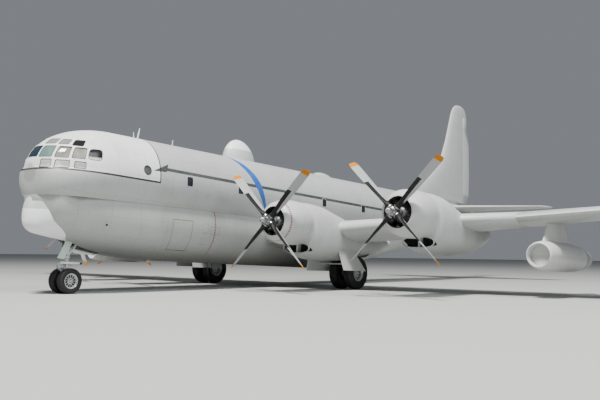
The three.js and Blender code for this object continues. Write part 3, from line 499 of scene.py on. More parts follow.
def hoops(centre):
    """Plates that run along the fuselage and round it: the turn about the lobe's middle, in metres."""
    def build(nt, where):
        turn = nt.math("ARCTAN2", where["Out"], nt.minus(where["Height"], centre))
        return where["Station"], nt.times(turn, 1.6), (1.27, 0.84)
    return build


def flats(nt, where):
    """Plates on a wing or tail: ribs across it and spars along it."""
    return where["Station"], where["Out"], (0.93, 1.1)


def uprights(nt, where):
    """Plates on the fin: ribs at heights and spars along."""
    return where["Station"], where["Height"], (0.98, 0.92)


WHITE, GREY, PALE = (0.74, 0.755, 0.75, 1), (0.41, 0.43, 0.422, 1), (0.485, 0.502, 0.494, 1)
CHARCOAL, BLUE, RED = (0.012, 0.013, 0.014, 1), (0.0, 0.085, 0.4, 1), (0.22, 0.004, 0.006, 1)
BLACK, DARKER_BELOW = (0.02, 0.024, 0.026, 1), (0.16, 0.165, 0.155, 1)
# Height and half width of the line under the white cap, then of the side stripe
LINE_HEIGHT, LINE_HALF, STRIPE_HEIGHT, STRIPE_HALF = 4.18, 0.03, 4.665, 0.062
STRIPE_ENDS = (4.76, 26.4)
ARROW_TIP = (4.08, 4.54)
# The sash's middle station and half width at heights, as cubics about one height
SASH_MIDDLE, SASH_WIDEN, SASH_ENDS = 4.8, 1.35, (3.66, 5.9)
SASH_ROWS = np.array([
    (5.88, 9.02, 0.05), (5.72, 9.16, 0.1), (5.5, 9.39, 0.14), (5.23, 9.62, 0.155), (4.91, 9.845, 0.14),
    (4.49, 10.045, 0.14), (4.08, 10.28, 0.1), (3.77, 10.48, 0.06)])
SASH_S = np.polyfit(SASH_ROWS[:, 0] - SASH_MIDDLE, SASH_ROWS[:, 1], 3)
SASH_HALF = np.polyfit(SASH_ROWS[:, 0] - SASH_MIDDLE, SASH_ROWS[:, 2], 3)


def fuselage_marks(nt, where, color):
    """The white cap over its dark line, the side stripe with its arrowhead, and the plain blue sash."""
    s, out, z = where["Station"], where["Out"], where["Height"]
    line = nt.minus(LINE_HEIGHT, nt.times(nt.ramp(s, 0.6, 4.6), 0.045))
    fore = nt.minus(1.0, nt.ramp(s, NOSE_BREAK - 0.012, NOSE_BREAK))
    above = nt.ramp(z, line, nt.plus(line, 0.012))
    tone = nt.mix(nt.times(fore, above), color, WHITE)
    rim = nt.times(fore, nt.band(z, nt.minus(line, LINE_HALF), nt.plus(line, LINE_HALF)))
    edge = nt.times(nt.band(s, NOSE_BREAK - 0.05, NOSE_BREAK - 0.008), above)
    tone = nt.mix(nt.math("MAXIMUM", rim, edge), tone, CHARCOAL)
    middle = nt.minus(STRIPE_HEIGHT, nt.times(nt.minus(s, 5.3), 0.0145))
    stripe = nt.times(nt.band(z, nt.minus(middle, STRIPE_HALF), nt.plus(middle, STRIPE_HALF)),
                      nt.band(s, *STRIPE_ENDS))
    back, rise = nt.minus(s, ARROW_TIP[0]), nt.minus(z, ARROW_TIP[1])
    head = nt.times(nt.math("LESS_THAN", rise, nt.times(back, 0.443)),
                    nt.math("GREATER_THAN", rise, nt.times(back, 0.03)))
    head = nt.times(head, nt.math("LESS_THAN", back, nt.plus(0.65, nt.times(rise, 0.424))))
    tone = nt.mix(nt.times(nt.math("MAXIMUM", stripe, head), 0.95), tone, BLACK)
    drop = nt.minus(z, SASH_MIDDLE)
    middle_s, half = 0.0, 0.0
    for term_s, term_half in zip(SASH_S, SASH_HALF):
        middle_s = nt.plus(nt.times(middle_s, drop), float(term_s))
        half = nt.plus(nt.times(half, drop), float(term_half))
    off = nt.math("ABSOLUTE", nt.minus(s, middle_s))
    sash = nt.times(nt.math("LESS_THAN", off, nt.times(half, SASH_WIDEN)), nt.band(z, *SASH_ENDS))
    return nt.mix(nt.times(sash, nt.ramp(out, 0.0, 0.02)), tone, BLUE)


def dashed(nt, turn, count, fill):
    """1 on the dashes of a ring that has count of them round it."""
    part = nt.math("FRACT", nt.times(nt.math("DIVIDE", turn, TAU), float(count)))
    return nt.math("LESS_THAN", part, fill)


# Columns: station, height, half length, half height, and the corners' power
HATCHES = [(7.1, 2.56, 0.155, 0.2, 3.2), (7.62, 2.52, 0.24, 0.15, 8), (7.06, 2.05, 0.13, 0.13, 8),
           (2.28, 2.38, 0.07, 0.07, 2)]


def hatch_lines(nt, along, up):
    """1 on the joint round each hatch: a thin band where the superellipse of its two reaches is one."""
    lines = 0.0
    for s, z, wide, tall, power in HATCHES:
        across = nt.math("POWER", nt.math("ABSOLUTE", nt.math("DIVIDE", nt.minus(along, s), wide)), power)
        rise = nt.math("POWER", nt.math("ABSOLUTE", nt.math("DIVIDE", nt.minus(up, z), tall)), power)
        thin = 0.1 * power / 3
        lines = nt.math("MAXIMUM", lines, nt.band(nt.plus(across, rise), 1 - thin, 1 + thin))
    return lines


def lower_marks(nt, where, color):
    """The dashed red hoop that warns of the inner propellers, the hatches' joints and painted shade beneath.
    """
    turn = nt.math("ARCTAN2", where["Out"], nt.minus(where["Height"], LOWER_CENTRE))
    ring = nt.times(nt.band(where["Station"], 7.595, 7.655), dashed(nt, turn, 88, 0.66))
    tone = nt.mix(ring, color, RED)
    lines = nt.times(hatch_lines(nt, where["Station"], where["Height"]), nt.ramp(where["Out"], 0.4, 0.6))
    tone = nt.mix(nt.times(lines, 0.75), tone, (0.06, 0.06, 0.055, 1))
    # Painted shade: the belly is darkened towards its bottom.
    painted_shade = nt.ramp(where["Height"], 2.75, 1.3)
    return nt.mix(nt.times(nt.times(painted_shade, painted_shade), 0.86), tone, (0.09, 0.093, 0.085, 1))


hull_paint = paint("hull_paint", GREY, seams=hoops(UPPER_CENTRE), livery=fuselage_marks)
lower_paint = paint("lower_hull_paint", (0.385, 0.402, 0.388, 1), seams=hoops(LOWER_CENTRE),
                    livery=lower_marks, dirt=0.3)
wing_paint = paint("wing_paint", PALE, seams=flats, dirt=0.22)
fin_paint = paint("fin_paint", PALE, seams=uprights, dirt=0.14)
white_paint = paint("white_paint", WHITE, dirt=0.1, rough=0.38)
green_paint = paint("green_paint", (0.42, 0.53, 0.47, 1), dirt=0.2)
door_paint = paint("door_paint", PALE, dirt=0.22)
leg_paint = paint("leg_paint", (0.56, 0.58, 0.58, 1), dirt=0.35, rough=0.36, metallic=0.35)
rim_paint = paint("rim_paint", (0.62, 0.635, 0.64, 1), dirt=0.3, rough=0.33, metallic=0.6)
dome_metal = paint("dome_metal", (0.36, 0.365, 0.37, 1), dirt=0.12, chalk=0.0, rough=0.3, metallic=0.95,
                   grain=0.02)
dark_steel = paint("dark_steel", (0.035, 0.036, 0.038, 1), dirt=0.2, rough=0.5, metallic=0.5, chalk=0.02)
blade_grey = paint("blade_grey", (0.33, 0.34, 0.345, 1), dirt=0.12, rough=0.4, grain=0.15)
blade_black = paint("blade_black", (0.006, 0.006, 0.0065, 1), dirt=0.0, chalk=0.02, rough=0.55,
                    specular=0.25)
tip_orange = paint("tip_orange", (0.5, 0.175, 0.0, 1), dirt=0.08, chalk=0.0, rough=0.6, specular=0.15)
cylinder_metal = paint("cylinder_metal", (0.1, 0.1, 0.102, 1), dirt=0.4, rough=0.42, metallic=0.8,
                       chalk=0.02)
crankcase_paint = paint("crankcase_paint", (0.11, 0.113, 0.115, 1), dirt=0.3, rough=0.4, metallic=0.4)
# Black, used as painted shade inside the cowls and the scoops, and on other dark fittings.
black_and_painted_shade = paint("black_and_painted_shade", (0.012, 0.012, 0.012, 1), dirt=0.2, rough=0.8, chalk=0.02, specular=0.2)
cabin_paint = paint("cabin_paint", (0.2, 0.235, 0.19, 1), dirt=0.2, rough=0.7)
bay_paint = paint("bay_paint", (0.13, 0.16, 0.13, 1), dirt=0.4, rough=0.7)
seat_cloth = paint("seat_cloth", (0.07, 0.08, 0.055, 1), dirt=0.2, rough=0.9)
curtain_cloth = paint("curtain_cloth", (0.72, 0.73, 0.70, 1), dirt=0.15, rough=0.9)
gasket_rubber = paint("gasket_rubber", (0.02, 0.02, 0.02, 1), dirt=0.1, rough=0.7, chalk=0.03)


def pane(name, tint, rough=0.05, through=0.1, top=None, foot=None):
    """Window glass with faint smears in its gloss, and painted reflections as lighter blotches in its tint.
    top and foot are a height and the colour past it, for a painted shade under the window's head and for a
    cloth drawn over its sill."""
    mat, nt, bsdf, vector = shader(name, rough, specular=0.25)
    height = use(nt, measures, Vector=vector)["Height"]
    # Painted reflections: the tint is lighter in cloudy blotches.
    painted_reflection = nt.ramp(nt.noise(vector, 3.2, 5.0, 0.6, 0.6), 0.42, 0.68)
    tone = nt.mix(painted_reflection, tuple(0.62 * c for c in tint[:3]) + (1,), tint)
    # Painted shade under the window's head.
    if top:
        tone = nt.mix(nt.ramp(height, top[0] - 0.02, top[0] + 0.02), tone, top[1])
    if foot:
        wave = nt.plus(height, nt.times(nt.noise(vector, 5.0), 0.08))
        tone = nt.mix(nt.ramp(wave, foot[0] + 0.03, foot[0] - 0.03), tone, foot[1])
    nt.link(tone, bsdf.inputs["Base Color"])
    nt.link(nt.ramp(nt.noise(vector, 6.0, 4.0, 0.6), 0.4, 0.8, rough, rough + 0.14), bsdf.inputs["Roughness"])
    bsdf.inputs["Transmission Weight"].default_value = through
    bsdf.inputs["IOR"].default_value = 1.45
    return mat


blue_glass = pane("blue_glass", (0.02, 0.042, 0.062, 1))
green_glass_pane = pane("green_glass_pane", (0.18, 0.29, 0.26, 1))
clear_glass = pane("clear_glass", (0.33, 0.33, 0.28, 1), top=(4.965, (0.03, 0.03, 0.03, 1)))
dim_glass = pane("dim_glass", (0.025, 0.026, 0.027, 1), foot=(4.75, (0.5, 0.5, 0.48, 1)))
head_glass = pane("head_glass", (0.34, 0.34, 0.33, 1))
porthole_glass = pane("porthole_glass", (0.12, 0.13, 0.128, 1), 0.08, 0.05)
milky_glass = pane("milky_glass", (0.62, 0.63, 0.61, 1), 0.25)
dark_glass = pane("dark_glass", (0.03, 0.035, 0.04, 1), 0.08, 0.0)
lamp_glass = pane("lamp_glass", (0.75, 0.78, 0.8, 1), through=0.6)


def rubber():
    """Black tyre rubber, scuffed grey on the crown, with its ribs as bump."""
    mat, nt, bsdf, vector = shader("tyre_rubber_skin", 0.82)
    scuff = nt.ramp(nt.noise(vector, 22.0, 5.0, 0.7), 0.45, 0.75)
    nt.link(nt.mix(nt.times(scuff, 0.5), (0.006, 0.006, 0.0065, 1), (0.028, 0.027, 0.026, 1)),
            bsdf.inputs["Base Color"])
    nt.link(nt.ramp(scuff, 0.0, 1.0, 0.7, 0.92), bsdf.inputs["Roughness"])
    bump(nt, bsdf, nt.noise(vector, 90.0, 3.0), 0.0008, 0.4)
    return mat


tyre_rubber = rubber()

# Fuselage. Columns: station, height of the middle, radius
UPPER = [(NOSE_LENGTH, UPPER_CENTRE, UPPER_RADIUS), (21.5, UPPER_CENTRE, UPPER_RADIUS), (24, 4.31, 1.63),
         (26, 4.42, 1.5), (28, 4.63, 1.27), (30, 4.9, 0.98), (31.7, 5.15, 0.69), (32.8, 5.35, 0.43),
         (TAIL_END, 5.46, 0.23)]
LOWER = [(LOWER_FRONT, 3.25, 0.3), (0.23, 3.25, 0.54), (0.41, 3.25, 0.81), (0.61, 3.2, 1.045),
         (0.87, 3.12, 1.13), (1.32, 3.0, 1.165), (1.6, 2.96, 1.26), (2.4, 2.85, 1.39), (3.5, 2.75, 1.45),
         (5, LOWER_CENTRE, LOWER_RADIUS), (17.2, LOWER_CENTRE, LOWER_RADIUS), (18.8, 2.86, 1.42),
         (20.5, 3.16, 1.38), (22.5, 3.52, 1.35), (24.5, 3.91, 1.35), (LOWER_END, 4.25, 1.3)]


def nose_power(turn):
    """The power of the nose's meridian at a turn: 2.3 level with its axis, less above it, more below."""
    rise = np.sin(turn)
    return 2.3 - 0.25 * np.maximum(0, rise) + 1.8 * np.maximum(0, -rise) ** 0.6


def nose_radius(s, turn):
    """The nose's radius at a station and a turn about its axis: a superellipse of the meridian's power."""
    power = nose_power(turn)
    ahead = np.clip((NOSE_LENGTH - s) / NOSE_LENGTH, 0, 1)
    return UPPER_RADIUS * (1 - ahead**power) ** (1 / power)


def nose_body(shrink, end):
    """The whole nose, from its tip to its break. Each meridian runs by its superellipse's own angle: cosine
    for the distance ahead and sine for the radius, both to the power two over its own."""
    turn = around(HULL_SIDES)[None]
    share = 2 / nose_power(turn)
    t = np.linspace(0.0008, 1, 72)[:, None] * math.pi / 2
    s = NOSE_LENGTH - (NOSE_LENGTH - shrink) * np.cos(t).clip(0) ** share
    r = (UPPER_RADIUS - shrink) * np.sin(t) ** share
    rear = stations(NOSE_LENGTH, end, 0.3)[1:, None] + 0 * turn
    s, r = np.concatenate([s, rear]), np.concatenate([r, 0 * rear + UPPER_RADIUS - shrink])
    return loft(np.stack([s, r * np.cos(turn), UPPER_CENTRE + r * np.sin(turn)], -1))


def lobe(table, first, last, grow=0.0, step=0.25):
    """A run of upright circles whose centre and radius follow a table."""
    s = stations(first, last, step)
    centre, r = eased(table, s).T[..., None]
    turn = around(HULL_SIDES)[None]
    r = r + grow
    return loft(np.stack(np.broadcast_arrays(s[:, None], r * np.cos(turn), centre + r * np.sin(turn)), -1))


def brick(s0, s1, y0, y1, z0, z1):
    """A plain block between two stations, two places across and two heights."""
    ring = np.array([[y0, z0], [y1, z0], [y1, z1], [y0, z1]], float)
    return loft(np.stack([np.column_stack([np.full(4, s), ring]) for s in (s0, s1)]))


# Blocks that hold a lobe's skin to its own side of the deck
ABOVE, BELOW = brick(-2, 40, -5, 5, DECK + GAP / 2, 12), brick(-2, 40, -5, 5, -3, DECK - GAP / 2)

# Columns: from and to, in degrees round from straight ahead, then low and high, then the corners' power
WINDOWS = [
    (-5.5, 5.5, 4.605, 5.035, 9), (6.7, 16.3, 4.59, 5.027, 9), (17.9, 27.2, 4.585, 5.017, 9),
    (29, 38.9, 4.59, 5.012, 9), (40.6, 53.6, 4.59, 5.012, 3.6), (4.3, 13.9, 5.105, 5.33, 7),
    (15.7, 23.6, 5.09, 5.31, 7), (25.9, 34.9, 5.06, 5.309, 7), (9.4, 17.0, 4.22, 4.52, 9),
    (19.2, 28.5, 4.22, 4.505, 9), (31.6, 40.1, 4.25, 4.493, 9),
]
ROUND_WINDOW = (3.82, 4.53, 0.15)


def window_outline(row, count, grow=0.0, share=1.0):
    """A window's outline in turn and height: a superellipse, scaled by a share and grown by a width."""
    low_turn, high_turn, low, high, power = row
    a = around(count)
    wide, tall = bulged(np.cos(a), power), bulged(np.sin(a), power)
    turn = np.radians((low_turn + high_turn) / 2 + (high_turn - low_turn) / 2 * share * wide)
    height = (low + high) / 2 + ((high - low) / 2 * share + grow) * tall
    return turn + grow / 2.5 * wide, height


def window_wedge(row, side):
    """The wedge that cuts a window: its outline at two reaches from the middle of the nose."""
    turn, height = window_outline(row, 40)
    rings = [np.stack([NOSE_LENGTH - reach * np.cos(turn), side * reach * np.sin(turn), height], -1)
             for reach in (0.7, 3.2)]
    return loft(np.stack(rings))


def on_nose(turn, height, lift=0.0):
    """The point of the nose's skin at a turn from straight ahead and a height: the reach is found by
    halving, since the nose grows smaller towards its tip."""
    turn, height = np.broadcast_arrays(turn, height)
    low, high = np.full(turn.shape, 0.3), np.full(turn.shape, 3.3)
    for _ in range(40):
        reach = (low + high) / 2
        s, y = NOSE_LENGTH - reach * np.cos(turn), reach * np.sin(turn)
        rise = height - UPPER_CENTRE
        inside = np.hypot(y, rise) < nose_radius(np.maximum(s, 0), np.arctan2(rise, np.abs(y)))
        low, high = np.where(inside, reach, low), np.where(inside, high, reach)
    reach = low + lift
    return np.stack([NOSE_LENGTH - reach * np.cos(turn), reach * np.sin(turn), height], -1)


SEAL_WIDE, SEAL_PROUD = 0.016, 0.004
# Each ring's growth and lift from the skin, and each pane ring's share of the window and its lift
SEAL_RINGS = ((-0.014, -0.03), (-0.014, 0.0), (-0.008, SEAL_PROUD), (SEAL_WIDE - 0.014, SEAL_PROUD),
              (SEAL_WIDE - 0.01, -0.01))
PANE_RINGS = ((0.01, -0.03), (0.5, -0.03), (0.985, -0.03), (0.985, -0.012), (0.7, -0.01), (0.35, -0.01),
              (0.01, -0.01))
SEAL_SIDES = 56


def window_seal(row, side):
    """A dark gasket round a window, lying on the skin: its section runs in from the skin, over and back."""
    rows = [on_nose(*window_outline(row, SEAL_SIDES, grow), lift) * [1, side, 1] for grow, lift in SEAL_RINGS]
    return loft(np.stack(rows + rows[:1]), capped=False)


def window_pane(row, side, finish):
    """A window's glass, a few millimetres under the skin: its back from the middle out, then its front in."""
    rows = [on_nose(*window_outline(row, SEAL_SIDES, share=share), lift) * [1, side, 1]
            for share, lift in PANE_RINGS]
    return loft(np.stack(rows), finish)


SIDES = [(row, side) for row in WINDOWS for side in (1, -1) if row[0] >= 0 or side > 0]
port_hole = tube([(ROUND_WINDOW[0], y, ROUND_WINDOW[1]) for y in (-2.5, 2.5)], ROUND_WINDOW[2], 40)
piece("nose_skin", [nose_body(0, NOSE_BREAK - GAP / 2)], [hull_paint, cabin_paint], stands_for=["nose_shell"],
      sharp=40, keep=[ABOVE],
      cuts=[lined(nose_body(NOSE_WALL, NOSE_BREAK + 0.05)), *[window_wedge(*w) for w in SIDES], port_hole])
piece("window_gaskets", [window_seal(row, side) for row, side in SIDES], [gasket_rubber],
      sharp=50)
# The finish of each row of windows, in the order of WINDOWS
PANE_KINDS = (0, 1, 2, 2, 3, 5, 5, 3, 4, 4, 4)
piece("nose_glazing", [window_pane(row, side, PANE_KINDS[WINDOWS.index(row)]) for row, side in SIDES],
      [blue_glass, green_glass_pane, clear_glass, dim_glass, milky_glass, head_glass],
      stands_for=["cockpit_glazing"], sharp=50)

BLIND_DEPTH, BLIND_THICK = 0.16, 0.01


def window_blind(row, side, fill):
    """A cloth behind the top share of a window: the skin's own points drawn in towards the middle of the
    nose, with slight folds that follow the sine of the turn."""
    low_turn, high_turn, low, high, _ = row
    turn = np.radians(np.linspace(low_turn - 1.5, high_turn + 1.5, 40))[None]
    height = np.linspace(high + 0.04, high + 0.04 - (high - low + 0.08) * fill, 8)[:, None]
    fold = 0.012 * np.sin(turn * 220)
    s, y, z = np.moveaxis(on_nose(turn, height + 0 * turn), -1, 0)
    reach = np.hypot(NOSE_LENGTH - s, y)
    shares = [(reach - deep + fold) / reach for deep in (BLIND_DEPTH, BLIND_DEPTH + BLIND_THICK)]
    front, back = [np.stack([NOSE_LENGTH - (NOSE_LENGTH - s) * share, y * share * side, z], -1)
                   for share in shares]
    return [sheet(front), sheet(back[:, ::-1])]


blinds = [part for row, fill in ((WINDOWS[2], 0.3), (WINDOWS[3], 0.4), (WINDOWS[4], 0.25)) for side in (1, -1)
          for part in window_blind(row, side, fill)]
piece("window_blinds", blinds, [curtain_cloth], sharp=60)

# Doors. Columns: first and last station, low and high. SWING is the play round them
CARGO_DOOR, CREW_DOOR, SWING = (5.15, 7.25, 3.37, 5.25), (5.36, 6.38, 1.64, 2.83), 0.016
cargo_hole = brick(CARGO_DOOR[0], CARGO_DOOR[1], -5, -0.6, CARGO_DOOR[2], CARGO_DOOR[3])
piece("upper_hull_fore", [lobe(UPPER, NOSE_BREAK + GAP / 2, MID_BREAK - GAP / 2)], [hull_paint, cabin_paint],
      stands_for=["upper_fuselage_forward"], sharp=40, keep=[ABOVE],
      cuts=[lined(lobe(UPPER, NOSE_BREAK - 0.1, MID_BREAK + 0.1, -HULL_WALL)), cargo_hole])
piece("upper_hull_aft", [lobe(UPPER, MID_BREAK + GAP / 2, TAIL_BREAK - GAP / 2)], [hull_paint, cabin_paint],
      stands_for=["upper_fuselage_aft"], sharp=40, keep=[ABOVE],
      cuts=[lined(lobe(UPPER, MID_BREAK - 0.1, TAIL_BREAK + 0.1, -AFT_WALL))])
piece("tail_cone_skin", [lobe(UPPER, TAIL_BREAK + GAP / 2, TAIL_END)], [hull_paint], stands_for=["tail_cone"],
      sharp=40)
piece("cargo_door_skin", [lobe(UPPER, CARGO_DOOR[0] + SWING, CARGO_DOOR[1] - SWING)],
      [hull_paint, cabin_paint], body="cargo_door", stands_for=["cargo_door"], sharp=40,
      cuts=[lined(lobe(UPPER, CARGO_DOOR[0] - 0.1, CARGO_DOOR[1] + 0.1, -HULL_WALL))],
      keep=[brick(4, 9, -5, -0.6, CARGO_DOOR[2] + SWING, CARGO_DOOR[3] - SWING)])

DOME_SINK = 0.26


def crown_dome(s, half, height):
    """A dome on the crown: half an egg, stood in the skin. Its rings climb from the foot to the top."""
    climb = np.linspace(-0.35, math.pi / 2 - 0.02, 26)[:, None]
    turn = around(64)[None]
    base = UPPER_CENTRE + UPPER_RADIUS - DOME_SINK
    return loft(np.stack(np.broadcast_arrays(
        s + half * np.cos(climb) * np.cos(turn), half * 0.55 * np.cos(climb) * np.sin(turn),
        base + (height + DOME_SINK) * np.sin(climb) * (1 - 0.14 * np.cos(turn) * np.cos(climb))), -1))


def dome_marks(nt, where, color):
    """White above its grey foot."""
    return nt.mix(nt.ramp(where["Height"], 6.32, 6.35), (0.46, 0.475, 0.47, 1), color)


dome_finish = paint("dome_paint", (0.78, 0.79, 0.79, 1), dirt=0.1, rough=0.4, livery=dome_marks)
piece("crown_dome", [crown_dome(10.35, 0.95, 0.87)], [dome_finish], sharp=60)
piece("low_crown_dome", [crown_dome(16.55, 0.85, 0.17)], [hull_paint], sharp=60)

# The bay: first and last station, half width, and its roof
NOSE_BAY = (1.35, 2.9, 0.3, 2.5)


def vestibule(first, last):
    """The room behind the crew door: its outboard wall is the skin's circle drawn in by its thickness."""
    z = np.linspace(1.62, 2.9, 20)
    y = np.sqrt((LOWER_RADIUS - LOWER_WALL) ** 2 - (z - LOWER_CENTRE) ** 2)
    ring = np.concatenate([np.stack([np.full(20, 0.15), z], -1), np.stack([y, z], -1)[::-1]])
    return loft(np.stack([np.column_stack([np.full(40, s), ring]) for s in (first, last)]))


piece("lower_hull_fore", [lobe(LOWER, LOWER_FRONT, LOWER_BREAK - GAP / 2, step=0.12)],
      [lower_paint, bay_paint], stands_for=["lower_fuselage_forward"], sharp=40,
      keep=[BELOW],
      cuts=[lined(brick(NOSE_BAY[0], NOSE_BAY[1], -NOSE_BAY[2], NOSE_BAY[2], -3, NOSE_BAY[3])),
            lined(vestibule(CREW_DOOR[0] - 0.15, CREW_DOOR[1] + 0.25)),
            brick(CREW_DOOR[0], CREW_DOOR[1], 0.9, 5, CREW_DOOR[2], CREW_DOOR[3])])
piece("lower_hull_aft", [lobe(LOWER, LOWER_BREAK + GAP / 2, LOWER_END)], [lower_paint],
      stands_for=["lower_fuselage_aft"], sharp=40,
      cuts=[brick(LOWER_BREAK - 1, TAIL_BREAK, -5, 5, DECK - GAP / 2, 9)])
piece("crew_door_skin", [lobe(LOWER, CREW_DOOR[0] + SWING, CREW_DOOR[1] - SWING)], [lower_paint, bay_paint],
      body="crew_door", stands_for=["crew_door"], sharp=40,
      cuts=[lined(lobe(LOWER, 5, 8, -LOWER_WALL))],
      keep=[brick(4, 9, 0.95, 5, CREW_DOOR[2] + SWING, CREW_DOOR[3] - SWING)])

# Chin radome. Columns: station, top, bottom, half width
RADOME = [(-0.085, 2.75, 2.35, 0.07), (-0.05, 2.95, 2.23, 0.2), (0.09, 3.3, 2.08, 0.36),
          (0.29, 3.6, 1.995, 0.59), (0.6, 3.7, 1.935, 0.76), (1.0, 3.7, 1.875, 0.85), (1.5, 3.7, 1.8, 0.85),
          (1.9, 3.7, 1.75, 0.65)]


def rounded_rings(table, s, sides):
    """Upright rings between a top and a bottom that follow a table: superellipses of power 2.3."""
    top, bottom, half = eased(table, s).T[..., None]
    a = around(sides)[None]
    wide, tall = bulged(np.cos(a), 2.3), bulged(np.sin(a), 2.3)
    return np.stack(np.broadcast_arrays(
        np.asarray(s)[:, None], half * wide, (top + bottom) / 2 + (top - bottom) / 2 * tall), -1)


def radome_marks(nt, where, color):
    """White below its grey-green cap."""
    return nt.mix(nt.ramp(where["Height"], 2.79, 2.805), color, (0.50, 0.545, 0.525, 1))


radome_finish = paint("chin_paint", (0.82, 0.84, 0.85, 1), dirt=0.08, rough=0.45, livery=radome_marks)
piece("chin_radome", [loft(rounded_rings(RADOME, -0.085 + 1.98 * np.linspace(0, 1, 50) ** 1.6, 96))],
      [radome_finish], stands_for=["radome"], sharp=60, keep=[BELOW])

smoothed("flight_deck", cabin_paint, rounded=0.006)
for side, _ in BOTH_SIDES:
    smoothed(f"pilot_seat_{side}", seat_cloth, rounded=0.006)

# Wing and tail
for side, _ in BOTH_SIDES:
    for node in ("wing_inner", "wing_outer"):
        smoothed(f"{node}_{side}", wing_paint, sharp=32)
    for node in ("flap_inner", "flap_middle", "flap_outer"):
        smoothed(f"{node}_{side}", wing_paint, body=f"flaps_{side}", sharp=40)
    smoothed(f"aileron_{side}", wing_paint, body=f"aileron_{side}", sharp=40)
    smoothed(f"elevator_{side}", wing_paint, body="elevators", sharp=40)
smoothed("tailplane", wing_paint, sharp=32)
smoothed("fin", fin_paint, sharp=32)
smoothed("rudder", fin_paint, body="rudder", sharp=40)

# Nacelles: the propeller's station, and the thrust line's distance out and height
INBOARD, OUTBOARD = (7.64, 4.34, 2.90), (8.31, 9.55, 3.165)
# Columns: distance aft of the propeller, top, bottom and half width, from the thrust line
NACELLE = [(1.45, 0.8, -0.84, 0.81), (1.72, 0.85, -0.86, 0.84), (1.75, 0.855, -1.23, 0.8),
           (2.1, 0.86, -1.37, 0.85), (2.7, 0.82, -1.43, 0.86), (3.6, 0.6, -1.42, 0.79),
           (4.7, 0.26, -1.34, 0.68), (5.9, 0.1, -1.16, 0.5), (7.4, -0.04, -0.64, 0.23)]
SCOOP = [(1.71, -0.8, -1.16, 0.64), (2.2, -0.82, -1.22, 0.64), (2.45, -0.9, -1.16, 0.48)]
# Columns: distance aft of the propeller, radius
COWL = [(0.26, 0.0), (0.26, 0.575), (0.265, 0.6), (0.285, 0.635), (0.32, 0.68), (0.38, 0.735), (0.46, 0.785),
        (0.58, 0.83), (0.75, 0.862), (0.95, 0.878), (1.2, 0.885), (1.45, 0.88), (1.6, 0.87), (1.6, 0.0)]
COWL_INSIDE = [(0.2, 0.0), (0.2, 0.575), (0.262, 0.57), (0.28, 0.552), (0.32, 0.545), (0.5, 0.56),
               (0.8, 0.74), (1.3, 0.76), (1.3, 0.72), (2.7, 0.72), (2.7, 0.0)]
# Behind the firewall the inner nacelles are drawn out by STRETCH
FIREWALL, STRETCH = 2.4, 1.2


def wing_height(y):
    """The wing's height at a distance out: it rises by 4.1 degrees."""
    return 2.33 + math.tan(math.radians(4.1)) * abs(y)


def nacelle_table(y, axis):
    """The nacelle's rows, drawn out behind the firewall inboard, and ended inside the wing."""
    stretch = STRETCH if y == INBOARD[1] else 1.0
    rows = []
    for aft, top, bottom, half in NACELLE:
        run = FIREWALL + (aft - FIREWALL) * stretch if aft > FIREWALL else aft
        rows.append((run, top + (wing_height(y) - axis if aft > 5 else 0), bottom, half))
    return rows


def nacelle_marks(prop, y, axis):
    """The dashed red hoop of an inner cowl, the cowl flaps' joint, and a darkening towards the bottom."""
    def build(nt, where, color):
        aft, up = nt.minus(where["Station"], prop), nt.minus(where["Height"], axis)
        tone = color
        if y == INBOARD[1]:
            turn = nt.math("ARCTAN2", nt.minus(nt.math("ABSOLUTE", where["Out"]), y), up)
            tone = nt.mix(nt.times(nt.band(aft, 0.43, 0.485), dashed(nt, turn, 54, 0.62)), tone, RED)
        joint = nt.times(nt.band(aft, 1.585, 1.6, 0.01), 0.25)
        tone = nt.mix(joint, tone, (0.1, 0.1, 0.1, 1))
        # Darker towards the bottom of the nacelle, by height alone.
        return nt.mix(nt.times(nt.ramp(up, -0.6, -1.4), 0.6), tone, DARKER_BELOW)
    return build


# Columns: share of the radius, chord, thickness, and the blade's angle
BLADES = [(0.075, 0.19, 0.18, 86), (0.16, 0.25, 0.15, 84), (0.25, 0.33, 0.11, 81), (0.45, 0.4, 0.062, 75),
          (0.75, 0.4, 0.04, 68), (0.93, 0.385, 0.028, 65), (0.985, 0.31, 0.02, 64), (1.0, 0.2, 0.012, 64)]
PROP_RADIUS = 2.59
# Shares of the radius where the tip's paint starts and where the boot and the cuff end
TIP, BOOT, CUFF = 0.925, 0.6, 0.14


def blade(turn):
    """One blade pointing up and then turned: at each radius an aerofoil of the row's chord and thickness,
    its leading edge forward of the disc by the row's angle. Finishes: 0 paint, 1 boot, 2 tip."""
    span = np.concatenate([np.linspace(BLADES[0][0], 0.91, 36), np.linspace(TIP, 1.0, 12)])
    chord, thick, angle = eased(BLADES, span).T[..., None]
    a = around(28)[None]
    across = chord / 2 * np.cos(a)
    fuller = np.clip((span[:, None] - 0.1) / 0.25, 0, 1)
    deep = thick / 2 * np.sin(a) * (1 + fuller * 0.35 * np.cos(a)) + fuller * 0.10 * thick * np.cos(2 * a)
    lean = -np.radians(angle)
    x = across * np.sin(lean) + deep * np.cos(lean)
    y = across * np.cos(lean) - deep * np.sin(lean)
    r = span[:, None] * PROP_RADIUS + 0 * a
    cos, sin = math.cos(turn), math.sin(turn)
    points, faces, _ = loft(np.stack([-x, y * cos - r * sin, y * sin + r * cos], -1))
    middle = (span[:-1, None] + span[1:, None]) / 2 + 0 * a
    lead = np.cos(a + TAU / 56) < 0.1
    kind = np.where(middle > TIP, 2, np.where(((middle < BOOT) & lead) | (middle < CUFF), 1, 0))
    return points, faces, kind.ravel().tolist() + [0, 2]


